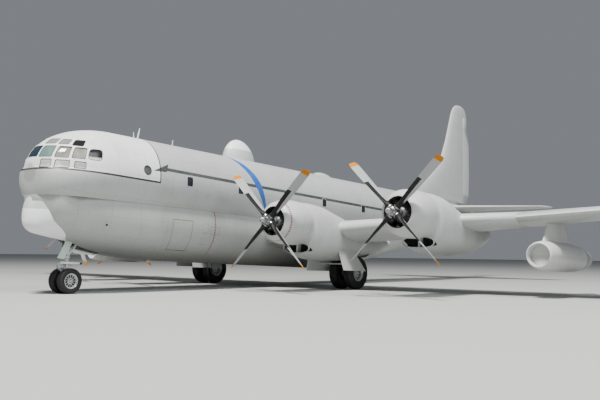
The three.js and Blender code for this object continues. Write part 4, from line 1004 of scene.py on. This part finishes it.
# Columns: distance aft of the disc, radius
HUB = [(-0.5, 0.0), (-0.499, 0.02), (-0.49, 0.032), (-0.475, 0.036), (-0.455, 0.037), (-0.45, 0.06),
       (-0.43, 0.085), (-0.39, 0.107), (-0.34, 0.12), (-0.28, 0.126), (-0.275, 0.134), (-0.255, 0.134),
       (-0.25, 0.126), (-0.19, 0.13), (-0.175, 0.15), (-0.165, 0.17), (-0.09, 0.185), (0.1, 0.185),
       (0.15, 0.18), (0.24, 0.13), (0.27, 0.11), (0.27, 0.0)]
# Columns: distance from the shaft, radius
CUFF_RINGS = [(0.1, 0.12), (0.17, 0.122), (0.2, 0.118), (0.3, 0.112), (0.36, 0.1), (0.44, 0.086), (0.5, 0.07)]
CLAMP_RINGS = [(0.18, 0.118), (0.185, 0.131), (0.225, 0.131), (0.23, 0.118)]


def hub_parts():
    """The dome, the barrel with its clamps, and the round cuffs that hold the blades."""
    parts = [turned(HUB, 0, 0, 0, 48, finish=3)]
    for turn in around(4, 0.5):
        out = np.array([0, -math.sin(turn), math.cos(turn)])
        for rings, finish in ((CUFF_RINGS, 1), (CLAMP_RINGS, 3)):
            parts.append(tube([out * r for r, _ in rings], [thick for _, thick in rings], 24, finish))
        for side in (-1, 1):
            lug = out * 0.2 + np.array([side * 0.137, 0, 0])
            parts.append(tube([lug - [0.028, 0, 0], lug + [0.028, 0, 0]], 0.022, 8, finish=3))
    for turn in around(8):
        y, z = 0.165 * math.sin(turn), 0.165 * math.cos(turn)
        parts.append(tube([(-0.2, y, z), (-0.17, y, z)], 0.014, 6, finish=4))
    return parts


# Number, place, side, and the angle that its propeller stopped at
ENGINES = [("1", OUTBOARD, 1, 45), ("2", INBOARD, 1, 45), ("3", INBOARD, -1, 45), ("4", OUTBOARD, -1, 33)]


def cylinder(turn, prop, y, axis, aft):
    """One cylinder of the radial: a barrel whose radius rises and falls with its fins, and a wider head."""
    along = np.linspace(0.3, 0.62, 33)
    radius = np.where(along > 0.5, 0.112, 0.092) + np.where(np.arange(33) % 2 == 0, 0.012, -0.004)
    radius[-1] = 0.05
    direction = np.array([0, math.sin(turn), math.cos(turn)])
    return tube([prop + aft, y, axis] + along[:, None] * direction, radius, 16)


# Columns: distance aft of the propeller, radius
CRANKCASE = [(0.28, 0.0), (0.28, 0.1), (0.31, 0.125), (0.42, 0.14), (0.46, 0.2), (0.52, 0.255), (0.6, 0.3),
             (0.66, 0.32), (1.1, 0.32), (1.1, 0.0)]
BAFFLE = [(1.12, 0.0), (1.12, 0.7), (1.25, 0.7), (1.25, 0.0)]


def engine_parts(prop, y, axis):
    """Two rows of nine cylinders, the crankcase with its magnetos, push rods and ignition leads."""
    def at(aft, r, turn):
        return prop + aft, y + r * math.sin(turn), axis + r * math.cos(turn)

    parts = [cylinder(turn, prop, y, axis, aft) for aft, start in ((0.72, 0.0), (1.0, 0.5))
             for turn in around(9, start)]
    parts.append(turned(CRANKCASE, prop, y, axis, 48, finish=1))
    parts.append(turned(BAFFLE, prop, y, axis, 48, finish=2))
    for turn in around(9):
        for lean in (-0.13, 0.13):
            rod = [at(0.56, 0.27, turn + lean * 1.2), at(0.63, 0.56, turn + lean * 0.75)]
            parts.append(tube(rod, 0.013, 8, finish=3))
        mid = turn + TAU / 18
        parts.append(tube([at(0.5, 0.2, mid), at(0.47, 0.235, mid)], 0.03, 10, finish=3))
    lead = np.linspace(0, TAU, 73)
    ring = np.stack([prop + 0.6 + 0 * lead, y + 0.345 * np.sin(lead), axis + 0.345 * np.cos(lead)], -1)
    parts.append(tube(ring, 0.02, 8, finish=3))
    return parts


def scoop_mouth(count, half):
    """The outline of the scoop's mouth: a superellipse of power 2.6."""
    a = around(count)
    return np.stack([0 * a, half * bulged(np.cos(a), 2.6), -0.985 + 0.19 * bulged(np.sin(a), 2.6)], -1)


def lip(prop, y, axis):
    """The rolled rim of the scoop's mouth: a round bead that follows the mouth's outline."""
    ring = scoop_mouth(60, 0.655)
    b = around(12)[:, None, None]
    away = ring - [0, 0, -1.0]
    away = away / np.linalg.norm(away, axis=1, keepdims=True)
    grid = ring + 0.024 * np.cos(b) * away + 0.04 * np.sin(b) * [1.0, 0, 0]
    return loft(np.concatenate([grid, grid[:1]]) + [prop + 1.74, y, axis], capped=False)


def scoop_core(prop, y, axis):
    """The cooler's face inside the scoop and its upright tubes, black as painted shade, and the rounded post
    between
    its mouths: a cosine of the turn forward and a sine across, wider at head and foot."""
    ring = scoop_mouth(48, 0.6)
    parts = [loft(np.stack([ring + [prop + aft, y, axis] for aft in (2.0, 2.1)]))]
    for across in np.linspace(-0.5, 0.5, 13):
        parts.append(tube([(prop + 1.97, y + across, axis + low) for low in (-1.17, -0.8)], 0.012, 6))
    climb, wide = np.array([(-1.2, 0.1), (-1.1, 0.06), (-0.9, 0.06), (-0.8, 0.1)]).T[..., None]
    turn = around(24)[None]
    forward = prop + 1.98 - 0.2 * np.maximum(np.cos(turn), -0.3) - 0.02
    post = np.stack(np.broadcast_arrays(forward, y + wide * np.sin(turn), axis + climb), -1)
    return parts + [loft(post, 1)]


# The wheel bay under an inner nacelle: first and last station, half width, roof
MAIN_BAY = (12.3, 14.05, 0.43, 2.13)
for number, (prop, y, axis), sign, stopped in ENGINES:
    table = nacelle_table(y, axis)
    run = np.unique(np.concatenate([[row[0] for row in table], stations(1.45, table[-1][0], 0.12)]))
    body = loft(rounded_rings(table, run, 72) + [prop, y, axis])
    scoop = loft(rounded_rings(SCOOP, stations(1.6, 2.45, 0.05), 48) + [prop, y, axis])
    finish = paint(f"nacelle_paint_{number}", PALE, dirt=0.26, livery=nacelle_marks(prop, y, axis))
    # The cowl's and the scoop's insides are lined in black as painted shade.
    cuts = [lined(turned(COWL_INSIDE, prop, y, axis, 64)), lined(scoop)]
    if y == INBOARD[1]:
        cuts.append(brick(MAIN_BAY[0], MAIN_BAY[1], y - MAIN_BAY[2], y + MAIN_BAY[2], -3, MAIN_BAY[3]))
    cuts = sided(cuts, sign)
    piece(f"nacelle_body_{number}", sided([body], sign), [finish, black_and_painted_shade],
          stands_for=[f"nacelle_{number}"], sharp=38, cuts=cuts)
    piece(f"cowl_{number}", sided([turned(COWL, prop, y, axis, 72)], sign), [finish, black_and_painted_shade],
          sharp=38, cuts=cuts[:1])
    piece(f"scoop_lip_{number}", sided([lip(prop, y, axis)], sign), [finish], sharp=60)
    piece(f"scoop_core_{number}", sided(scoop_core(prop, y, axis), sign), [black_and_painted_shade, finish],
          sharp=50)
    piece(f"radial_{number}", sided(engine_parts(prop, y, axis), sign),
          [cylinder_metal, crankcase_paint, black_and_painted_shade, dark_steel], stands_for=[f"engine_{number}"],
          sharp=40)
    blades = [blade(math.radians(stopped) + i * TAU / 4) for i in range(4)]
    piece(f"airscrew_{number}", shifted(blades + hub_parts(), (prop, sign * y, axis)),
          [blade_grey, blade_black, tip_orange, dome_metal, dark_steel], body=f"propeller_{number}",
          stands_for=[f"propeller_{number}"], sharp=45)

# Jet pods: the intake's station, and the axis's distance out and height
POD = (12.23, 13.2, 1.835)
# Columns: distance aft of the intake, radius
POD_OUTSIDE = [(0.0, 0.43), (0.012, 0.452), (0.04, 0.47), (0.12, 0.49), (0.4, 0.53), (0.8, 0.545),
               (1.2, 0.55), (2.9, 0.55), (3.4, 0.53), (4.0, 0.48), (4.6, 0.39), (4.9, 0.32), (4.9, 0.28),
               (4.4, 0.29), (4.4, 0.0)]
POD_INSIDE = [(1.1, 0.0), (1.1, 0.4), (0.5, 0.4), (0.06, 0.415), (0.0, 0.43)]
POD_COVER = [(0.36, 0.4), (0.4, 0.385), (0.45, 0.3), (0.475, 0.15), (0.48, 0.0), (0.52, 0.0), (0.5, 0.3),
             (0.45, 0.4)]
POD_CONE = [(4.3, 0.0), (4.38, 0.12), (4.6, 0.1), (4.85, 0.04), (4.95, 0.0)]
# Columns: height, leading edge, chord
PYLON = ((2.25, 12.6, 2.9), (2.6, 12.82, 2.4), (3.3, 13.27, 1.4))


def pylon():
    """The pod's pylon: aerofoil sections, 11 parts in 100 thick, that narrow on the way up to the wing."""
    f = (1 - np.cos(np.linspace(0, math.pi, 30))) / 2
    curve = 5 * 0.11 * (0.2969 * np.sqrt(f) - 0.126 * f - 0.3516 * f**2 + 0.2843 * f**3 - 0.1036 * f**4)
    aft = np.concatenate([f, f[::-1][1:-1]])
    out = np.concatenate([curve, -curve[::-1][1:-1]])
    z, leading, chord = np.array(PYLON).T[..., None]
    return loft(np.stack(np.broadcast_arrays(leading + aft * chord, POD[1] + out * chord, z), -1))


def pod_parts():
    """The pod's shell in one with its intake, the dished cover set inside it, the pylon, and the tail pipe's
    cone."""
    return [turned(POD_INSIDE + POD_OUTSIDE[1:], *POD, 80), pylon(), turned(POD_COVER, *POD, 64),
            turned(POD_CONE, *POD, 32, finish=1)]


def pod_marks(nt, where, color):
    """The bare metal of the tail pipe, behind the cowling's joint."""
    aft = nt.minus(where["Station"], POD[0])
    low = nt.math("LESS_THAN", nt.math("ABSOLUTE", nt.minus(where["Height"], POD[2])), 0.56)
    return nt.mix(nt.times(nt.math("GREATER_THAN", aft, 3.75), low), color, (0.2, 0.205, 0.2, 1))


pod_finish = paint("pod_finish", (0.55, 0.56, 0.55, 1), seams=hoops(POD[2]), dirt=0.2, seam_depth=0.2,
                   livery=pod_marks)
for side, sign in BOTH_SIDES:
    piece(f"jet_pod_shell_{side}", sided(pod_parts(), sign), [pod_finish, dark_steel],
          stands_for=[f"jet_pod_{side}"], sharp=40)

# Gear. The crown takes this share of the tyre's half width
CROWN, GROOVES, SPOKES = 0.62, 4, 12


def tyre(radius, width, bead, s, y, z):
    """A tyre: its section goes out over a round shoulder to a crown with grooves, and back to the bead."""
    half = width / 2
    crown = np.linspace(-CROWN, CROWN, 41)
    phase = ((crown + CROWN) / (2 * CROWN) * (GROOVES + 1)) % 1
    cut = np.where((phase < 0.1) | (phase > 0.9), 0.014, 0.0)
    cut[[0, -1]] = 0
    shoulder = radius - 0.05 * half
    top = [(half * c, radius - 0.05 * half * (abs(c) / CROWN) ** 3 - g) for c, g in zip(crown, cut)]
    turn = np.linspace(0, 1, 12)[1:]
    wall = [(half * (CROWN + 0.38 * math.sin(t * math.pi / 2)),
             shoulder - (radius - bead) * 0.42 * (1 - math.cos(t * math.pi / 2))) for t in turn]
    low = [(half * (1 - 0.28 * t), shoulder - (radius - bead) * (0.42 + 0.55 * t)) for t in turn]
    side = wall + low + [(half * 0.6, bead - 0.01)]
    return wheel_turned([(-a, b) for a, b in side[::-1]] + top + side, s, y, z, 96)


def rim(radius, width, s, y, z, face, finish=1):
    """A wheel: flange, dished web with slots left between spokes, and the axle's cap, facing one way."""
    half = width / 2
    inner, outer = radius * 0.36, radius - 0.024
    flange = [(half * 0.62, radius), (half * 0.78, radius + 0.01), (half * 0.8, radius - 0.006),
              (half * 0.7, radius - 0.02), (half * 0.3, radius - 0.03), (-half * 0.3, radius - 0.03),
              (-half * 0.62, radius)]
    hub = [(half * 0.42, 0.001), (half * 0.5, inner * 0.7), (half * 0.44, inner), (half * 0.2, inner),
           (half * 0.2, 0.001)]
    back = [(half * 0.1, 0.001), (half * 0.1, outer), (half * 0.05, outer), (half * 0.05, 0.001)]
    ring = [(half * 0.42, outer - 0.06 * radius), (half * 0.5, outer + 0.01), (half * 0.25, outer + 0.01),
            (half * 0.25, outer - 0.06 * radius)]
    cap = [(half * 0.66, 0.001), (half * 0.64, inner * 0.3), (half * 0.44, inner * 0.42), (half * 0.4, 0.001)]
    parts = [wheel_turned(flange, s, y, z, 72, finish), wheel_turned(hub, s, y, z, 48, finish, closed=False),
             wheel_turned(back, s, y, z, 48, 2, closed=False), wheel_turned(ring, s, y, z, 72, finish)]
    for turn in around(SPOKES):
        direction = np.array([math.cos(turn), 0, math.sin(turn)])
        across = np.array([-math.sin(turn), 0, math.cos(turn)])
        rings = []
        for r, wide, out in ((inner * 0.9, 0.075 * radius, 0.46), (inner * 1.25, 0.04 * radius, 0.42),
                             (outer * 0.9, 0.042 * radius, 0.42), (outer, 0.08 * radius, 0.46)):
            section = ((-0.8, out), (0.8, out), (1, out - 0.08), (0.6, 0.15), (-0.6, 0.15), (-1, out - 0.08))
            rings.append([direction * r + across * wide * a + np.array([0, half * b, 0]) for a, b in section])
        parts.append(loft(np.array(rings) + [s, y, z], finish))
        bolt = direction * inner * 0.62
        parts.append(tube([bolt + [s, y + half * out, z] for out in (0.44, 0.56)], 0.012, 6, 2))
    parts.append(wheel_turned(cap, s, y, z, 36, finish, closed=False))
    centre = np.array([s, y, z])
    return [((points - centre) * [1, face, 1] + centre, faces, kinds) for points, faces, kinds in parts]


def twin(name, node, centre, radius, width, spacing, bead):
    """Two wheels on one axle, each with a rim that faces out and a dark one that faces in."""
    s, y, z = centre
    parts = []
    for side in (1, -1):
        at = (s, y + side * spacing / 2, z)
        parts.append(tyre(radius, width, bead, *at))
        parts += rim(bead, width, *at, side)
        parts += [(points, faces, [2] * len(kinds))
                  for points, faces, kinds in rim(bead, width * 0.98, *at, -side)]
    parts.append(tube([(s, y - spacing / 2, z), (s, y + spacing / 2, z)], bead * 0.3, 20, finish=1))
    piece(name, parts, [tyre_rubber, rim_paint, black_and_painted_shade], body=node, stands_for=[node],
          sharp=42)


NOSE_AXLE, MAIN_AXLE = (1.7, 0.0, 0.357), (13.06, 4.34, 1.008)
twin("nose_wheel_pair", "nose_wheels", NOSE_AXLE, 0.457, 0.29, 0.52, 0.262)
for side, sign in BOTH_SIDES:
    twin(f"main_wheel_pair_{side}", f"main_wheels_{side}", MAIN_AXLE * np.array([1, sign, 1]),
         0.711, 0.41, 0.76, 0.345)
    smoothed(f"main_gear_leg_{side}", leg_paint, rounded=0.004)
    smoothed(f"main_gear_doors_{side}", door_paint, sharp=25, rounded=0.004)
smoothed("nose_gear_leg", leg_paint, rounded=0.003)
smoothed("nose_gear_fork", leg_paint, body="nose_steering", rounded=0.004)
smoothed("nose_gear_door", green_paint, sharp=25, rounded=0.003)


def plate(outline, thick, finish=0):
    """A flat upright plate: an outline of points, thickened both ways across the aircraft."""
    outline, across = np.asarray(outline, float), np.array([0, thick / 2, 0])
    return loft(np.stack([outline - across, outline + across]), finish)


def nose_leg_parts():
    """The nose gear's fixed parts: oleo cylinder with its bands, side stays, drag brace and its jack."""
    top, foot = np.array([1.74, 0, 2.42]), np.array([NOSE_AXLE[0], 0, 1.2])
    # Share of the way down, radius
    bands = [(0, 0.085), (0.3, 0.085), (0.34, 0.1), (0.38, 0.1), (0.42, 0.085), (0.86, 0.085), (0.88, 0.105),
             (0.99, 0.105), (1.0, 0.09)]
    parts = [tube([top + (foot - top) * t for t, _ in bands], [r for _, r in bands], 28)]
    for side in (1, -1):
        stay = [(1.72, side * 0.09, 1.3), (2.3, side * 0.2, 2.1), (2.6, side * 0.22, 2.25)]
        parts.append(tube([(1.76, side * 0.07, 1.62), (1.9, side * 0.24, 2.4)], 0.03, 14, finish=1))
        parts.append(tube(stay, [0.022, 0.026, 0.022], 12, finish=1))
        parts.append(tube([(1.62, side * 0.1, 1.35), (1.62, side * 0.1, 1.75)], 0.02, 10, finish=2))
    brace = [(1.78, 0, 1.5), (2.05, 0, 1.43), (2.5, 0, 1.385), (2.86, 0, 1.35)]
    parts.append(tube(brace, [0.05, 0.085, 0.06, 0.028], 18, finish=1))
    parts.append(tube([(1.78, 0, 1.66), (2.4, 0, 1.62), (2.7, 0, 1.6)], [0.03, 0.03, 0.02], 12, finish=2))
    parts.append(slab((1.6, 0.0, 1.58), (0.12, 0.2, 0.16), 2))
    t = np.linspace(0, 1, 20)
    for side in (1, -1):
        bow, sway = 1.64 - 0.06 * np.sin(t * math.pi), side * (0.1 + 0.03 * np.sin(t * 5))
        parts.append(tube(np.stack([bow, sway, 1.25 + 0.9 * t], -1), 0.011, 8, finish=3))
    parts.append(tube([(1.56, 0.14, 1.45), (1.5, 0.14, 1.45)], [0.05, 0.075], 20, finish=2))
    parts.append(tube([(1.499, 0.14, 1.45), (1.492, 0.14, 1.45)], [0.07, 0.062], 20, finish=4))
    return parts


def nose_fork_parts():
    """What steers: the broad collar with its towing lugs, the scissor links, the fork and the axle's boss.
    The collar's rings are ellipses, grown and lifted."""
    s = NOSE_AXLE[0]
    turn = around(40)
    collar = [np.stack([1.84 + (0.42 + grow) * np.cos(turn), (0.2 + grow) * np.sin(turn), np.full(40, z)], -1)
              for grow, z in ((-0.03, 0.945), (0, 0.965), (0, 1.02), (-0.03, 1.04))]
    parts = [loft(np.stack(collar), 3)]
    parts.append(tube([(1.46, 0, 0.99), (1.38, 0, 0.99), (1.37, 0, 0.99)], [0.05, 0.045, 0.03], 16, finish=1))
    parts.append(tube([(2.24, -0.14, 0.99), (2.24, 0.14, 0.99)], 0.035, 14, finish=2))
    parts.append(tube([(s, 0, z) for z in (1.06, 0.78, 0.74, 0.36)], [0.062, 0.062, 0.08, 0.075], 24))
    parts.append(tube([(s, -0.1, NOSE_AXLE[2]), (s, 0.1, NOSE_AXLE[2])], 0.075, 20, finish=2))
    for side in (1, -1):
        wide, near = side * 0.05, side * 0.03
        upper = [(1.43, wide, 1.05), (1.47, wide, 1.06), (1.34, near, 0.85), (1.31, near, 0.83)]
        lower = [(1.34, near, 0.87), (1.31, near, 0.83), (1.6, wide, 0.62), (1.64, wide, 0.66)]
        parts += [plate(upper, 0.02, 1), plate(lower, 0.02, 1)]
        parts.append(slab((1.66, side * 0.12, 0.86), (0.09, 0.05, 0.2), 1))
    return parts


piece("nose_leg_fittings", nose_leg_parts(), [leg_paint, white_paint, dark_steel, gasket_rubber, lamp_glass],
      sharp=40)
piece("nose_fork_fittings", nose_fork_parts(), [leg_paint, rim_paint, dark_steel, white_paint],
      body="nose_steering", sharp=40)


def main_leg_parts():
    """One main leg's fittings: bands on the oleo, the scissor links behind it, and the brake pipes, which
    bow forward by a sine."""
    s, y, _ = MAIN_AXLE
    parts = []
    for z, r in ((2.35, 0.165), (2.05, 0.16), (1.75, 0.16)):
        band = [(s, y, z + 0.05), (s, y, z + 0.04), (s, y, z - 0.04), (s, y, z - 0.05)]
        parts.append(tube(band, [r * 0.9, r, r, r * 0.9], 28))
    for side in (1, -1):
        wide, near = y + side * 0.05, y + side * 0.03
        upper = [(s + 0.14, wide, 1.74), (s + 0.16, wide, 1.8), (s + 0.46, near, 1.42),
                 (s + 0.43, near, 1.38)]
        lower = [(s + 0.43, near, 1.42), (s + 0.46, near, 1.38), (s + 0.16, wide, 1.08),
                 (s + 0.13, wide, 1.12)]
        parts += [plate(upper, 0.03, 1), plate(lower, 0.03, 1)]
    t = np.linspace(0, 1, 24)
    for side in (1, -1):
        bow, out = s - 0.15 - 0.05 * np.sin(t * math.pi), y + side * (0.05 + 0.04 * t)
        parts.append(tube(np.stack([bow, out, 2.2 - 1.0 * t], -1), 0.014, 8, finish=2))
    return parts


for side, sign in BOTH_SIDES:
    piece(f"main_leg_fittings_{side}", sided(main_leg_parts(), sign), [leg_paint, rim_paint, gasket_rubber],
          sharp=40)

# Small fittings. Columns: station of the foot and of the top, height of the top, chord
BLADE_AERIALS = [(4.56, 4.66, 6.40, 0.09), (4.4, 4.36, 6.2, 0.05), (6.38, 6.4, 6.21, 0.06)]


def aerial(foot, head, top, chord):
    """A blade aerial: ellipses that narrow as they climb from inside the skin."""
    a = around(24)[None]
    share = np.array([0.0, 0.3, 0.7, 1.0])[:, None]
    wide = chord * (1 - 0.45 * share)
    return loft(np.stack(np.broadcast_arrays(
        foot + (head - foot) * share + wide / 2 * np.cos(a), 0.018 * (1 - 0.5 * share) * np.sin(a),
        5.9 + (top - 5.9) * share), -1))


piece("crown_aerials", [aerial(*row) for row in BLADE_AERIALS], [white_paint], sharp=50)
masts = [tube([(s, y, 1.3), (s + 0.04, y, 1.1), (s + 0.1, y, low)], [0.02, 0.016, 0.008], 12)
         for s, y, low in ((8.35, 0.3, 0.78), (9.1, -0.2, 0.82))]
piece("belly_masts", masts, [dark_steel], sharp=50)

UPPER_LOBE, LOWER_LOBE = (UPPER_CENTRE, UPPER_RADIUS), (LOWER_CENTRE, LOWER_RADIUS)


def hull_plate(s, z, half_long, half_tall, lift, side, on=UPPER_LOBE, power=7):
    """A rounded plate on a lobe's side: a superellipse in station and height, wrapped on the circle, its
    rings running over the edge and in to the middle."""
    a = around(48)
    wide, tall = bulged(np.cos(a), power), bulged(np.sin(a), power)
    rings = [(1.0, -0.012), (1.0, lift * 0.6), (0.94, lift), (0.5, lift), (0.02, lift)]
    share, out = np.array(rings).T[..., None]
    height = z + half_tall * share * tall
    y = np.sqrt(np.maximum((on[1] + out) ** 2 - (height - on[0]) ** 2, 0))
    return loft(np.stack([s + half_long * share * wide, side * y, height], -1))


def port_rim(side):
    """The round window's rim: circles in station and height, wrapped on the upper lobe and closed."""
    a = around(48)[None]
    rings = [(0.148, -0.03), (0.148, 0.006), (0.175, 0.01), (0.19, -0.006), (0.148, -0.03)]
    r, out = np.array(rings).T[..., None]
    z = ROUND_WINDOW[1] + r * np.sin(a)
    y = np.sqrt((UPPER_RADIUS + out) ** 2 - (z - UPPER_CENTRE) ** 2)
    return loft(np.stack([ROUND_WINDOW[0] + r * np.cos(a), side * y, z], -1), capped=False)


# The side windows' stations: none in the cargo door
window_places = [(s, side) for s in (5.935, 8.835, 14.68, 18.01) for side in (1, -1)
                 if side > 0 or not CARGO_DOOR[0] < s < CARGO_DOOR[1]]
piece("side_windows", [hull_plate(s, 4.3425, 0.15, 0.1825, 0.01, side) for s, side in window_places],
      [dark_glass], sharp=60)
piece("side_window_frames", [hull_plate(s, 4.3425, 0.165, 0.1975, 0.006, side) for s, side in window_places],
      [door_paint], sharp=60)
piece("porthole_rims", [port_rim(side) for side in (1, -1)], [dark_steel], sharp=60)
piece("porthole_panes",
      [hull_plate(*ROUND_WINDOW[:2], 0.146, 0.146, -0.012, side, power=2) for side in (1, -1)],
      [porthole_glass], sharp=60)
piece("hull_hatch", [hull_plate(7.1, 2.56, 0.135, 0.18, 0.006, 1, LOWER_LOBE, 3.2)], [lower_paint],
      sharp=60)
piece("hull_lamp", [hull_plate(2.28, 2.38, 0.04, 0.04, 0.014, side, LOWER_LOBE, 2) for side in (1, -1)],
      [dark_glass], sharp=60)

# Stage, light and camera
FLOOR_REACH = 160
floor_mesh = bpy.data.meshes.new("floor")
floor_corners = [(x * FLOOR_REACH, y * FLOOR_REACH, 0) for x, y in ((-1, -1), (1, -1), (1, 1), (-1, 1))]
floor_mesh.from_pydata(floor_corners, [], [(0, 1, 2, 3)])
floor = added("floor", floor_mesh)
floor_mat, _, floor_bsdf, _ = shader("floor_pale", 0.9, specular=0.1)
floor_bsdf.inputs["Base Color"].default_value = (0.38, 0.385, 0.375, 1)
floor_mesh.materials.append(floor_mat)

world = bpy.data.worlds.new("studio")
bpy.context.scene.world = world
world.use_nodes = True
world.node_tree.nodes["Background"].inputs[0].default_value = (0.80, 0.86, 0.93, 1)
world.node_tree.nodes["Background"].inputs[1].default_value = 0.26


def area_light(name, at, aim, size, power, color):
    """A soft square light at a point, facing another."""
    data = bpy.data.lights.new(name, "AREA")
    data.shape, data.size, data.energy, data.color = "SQUARE", size, power, color
    obj = added(name, data)
    obj.location = at
    obj.rotation_mode = "QUATERNION"
    obj.rotation_quaternion = (Vector(aim) - Vector(at)).to_track_quat("-Z", "Y")


area_light("key", (19, 7, 34), (2, 1, 1.5), 6, 33000, (1.0, 0.975, 0.94))
area_light("sky_fill", (6, 26, 26), (0, 2, 1.5), 16, 7500, (0.93, 0.96, 1.0))
area_light("side_fill", (12, 26, 5), (0, 2, 1.5), 12, 500, (0.95, 0.97, 1.0))

# The camera's place in full-size measures, and its focal length in pixels of a 600 pixel wide picture
CAMERA_AT, FOCAL, PICTURE_WIDTH = (-14.166, 23.560, 0.845), 754.371, 600
YAW, PITCH, ROLL = math.radians(-140.947), math.radians(5.666), math.radians(1.905)
ahead = np.array([math.cos(YAW) * math.cos(PITCH), math.sin(YAW) * math.cos(PITCH), math.sin(PITCH)])
right = np.cross(ahead, [0, 0, 1])
right /= np.linalg.norm(right)
up = np.cross(right, ahead)
right, up = right * math.cos(ROLL) + up * math.sin(ROLL), up * math.cos(ROLL) - right * math.sin(ROLL)
turn = np.array([[math.cos(LEAN), 0, -math.sin(LEAN)], [0, 1, 0], [math.sin(LEAN), 0, math.cos(LEAN)]])
axes = np.stack([turn @ right, turn @ up, -(turn @ ahead)], 1)
camera_data = bpy.data.cameras.new("camera")
camera_data.sensor_width, camera_data.lens = 36.0, 36.0 * FOCAL / PICTURE_WIDTH
camera_data.clip_start, camera_data.clip_end = 0.1, 500
camera = added("camera", camera_data)
camera.matrix_world = Matrix.Translation(Vector(place([CAMERA_AT])[0])) @ Matrix(axes.tolist()).to_4x4()
bpy.context.scene.camera = camera
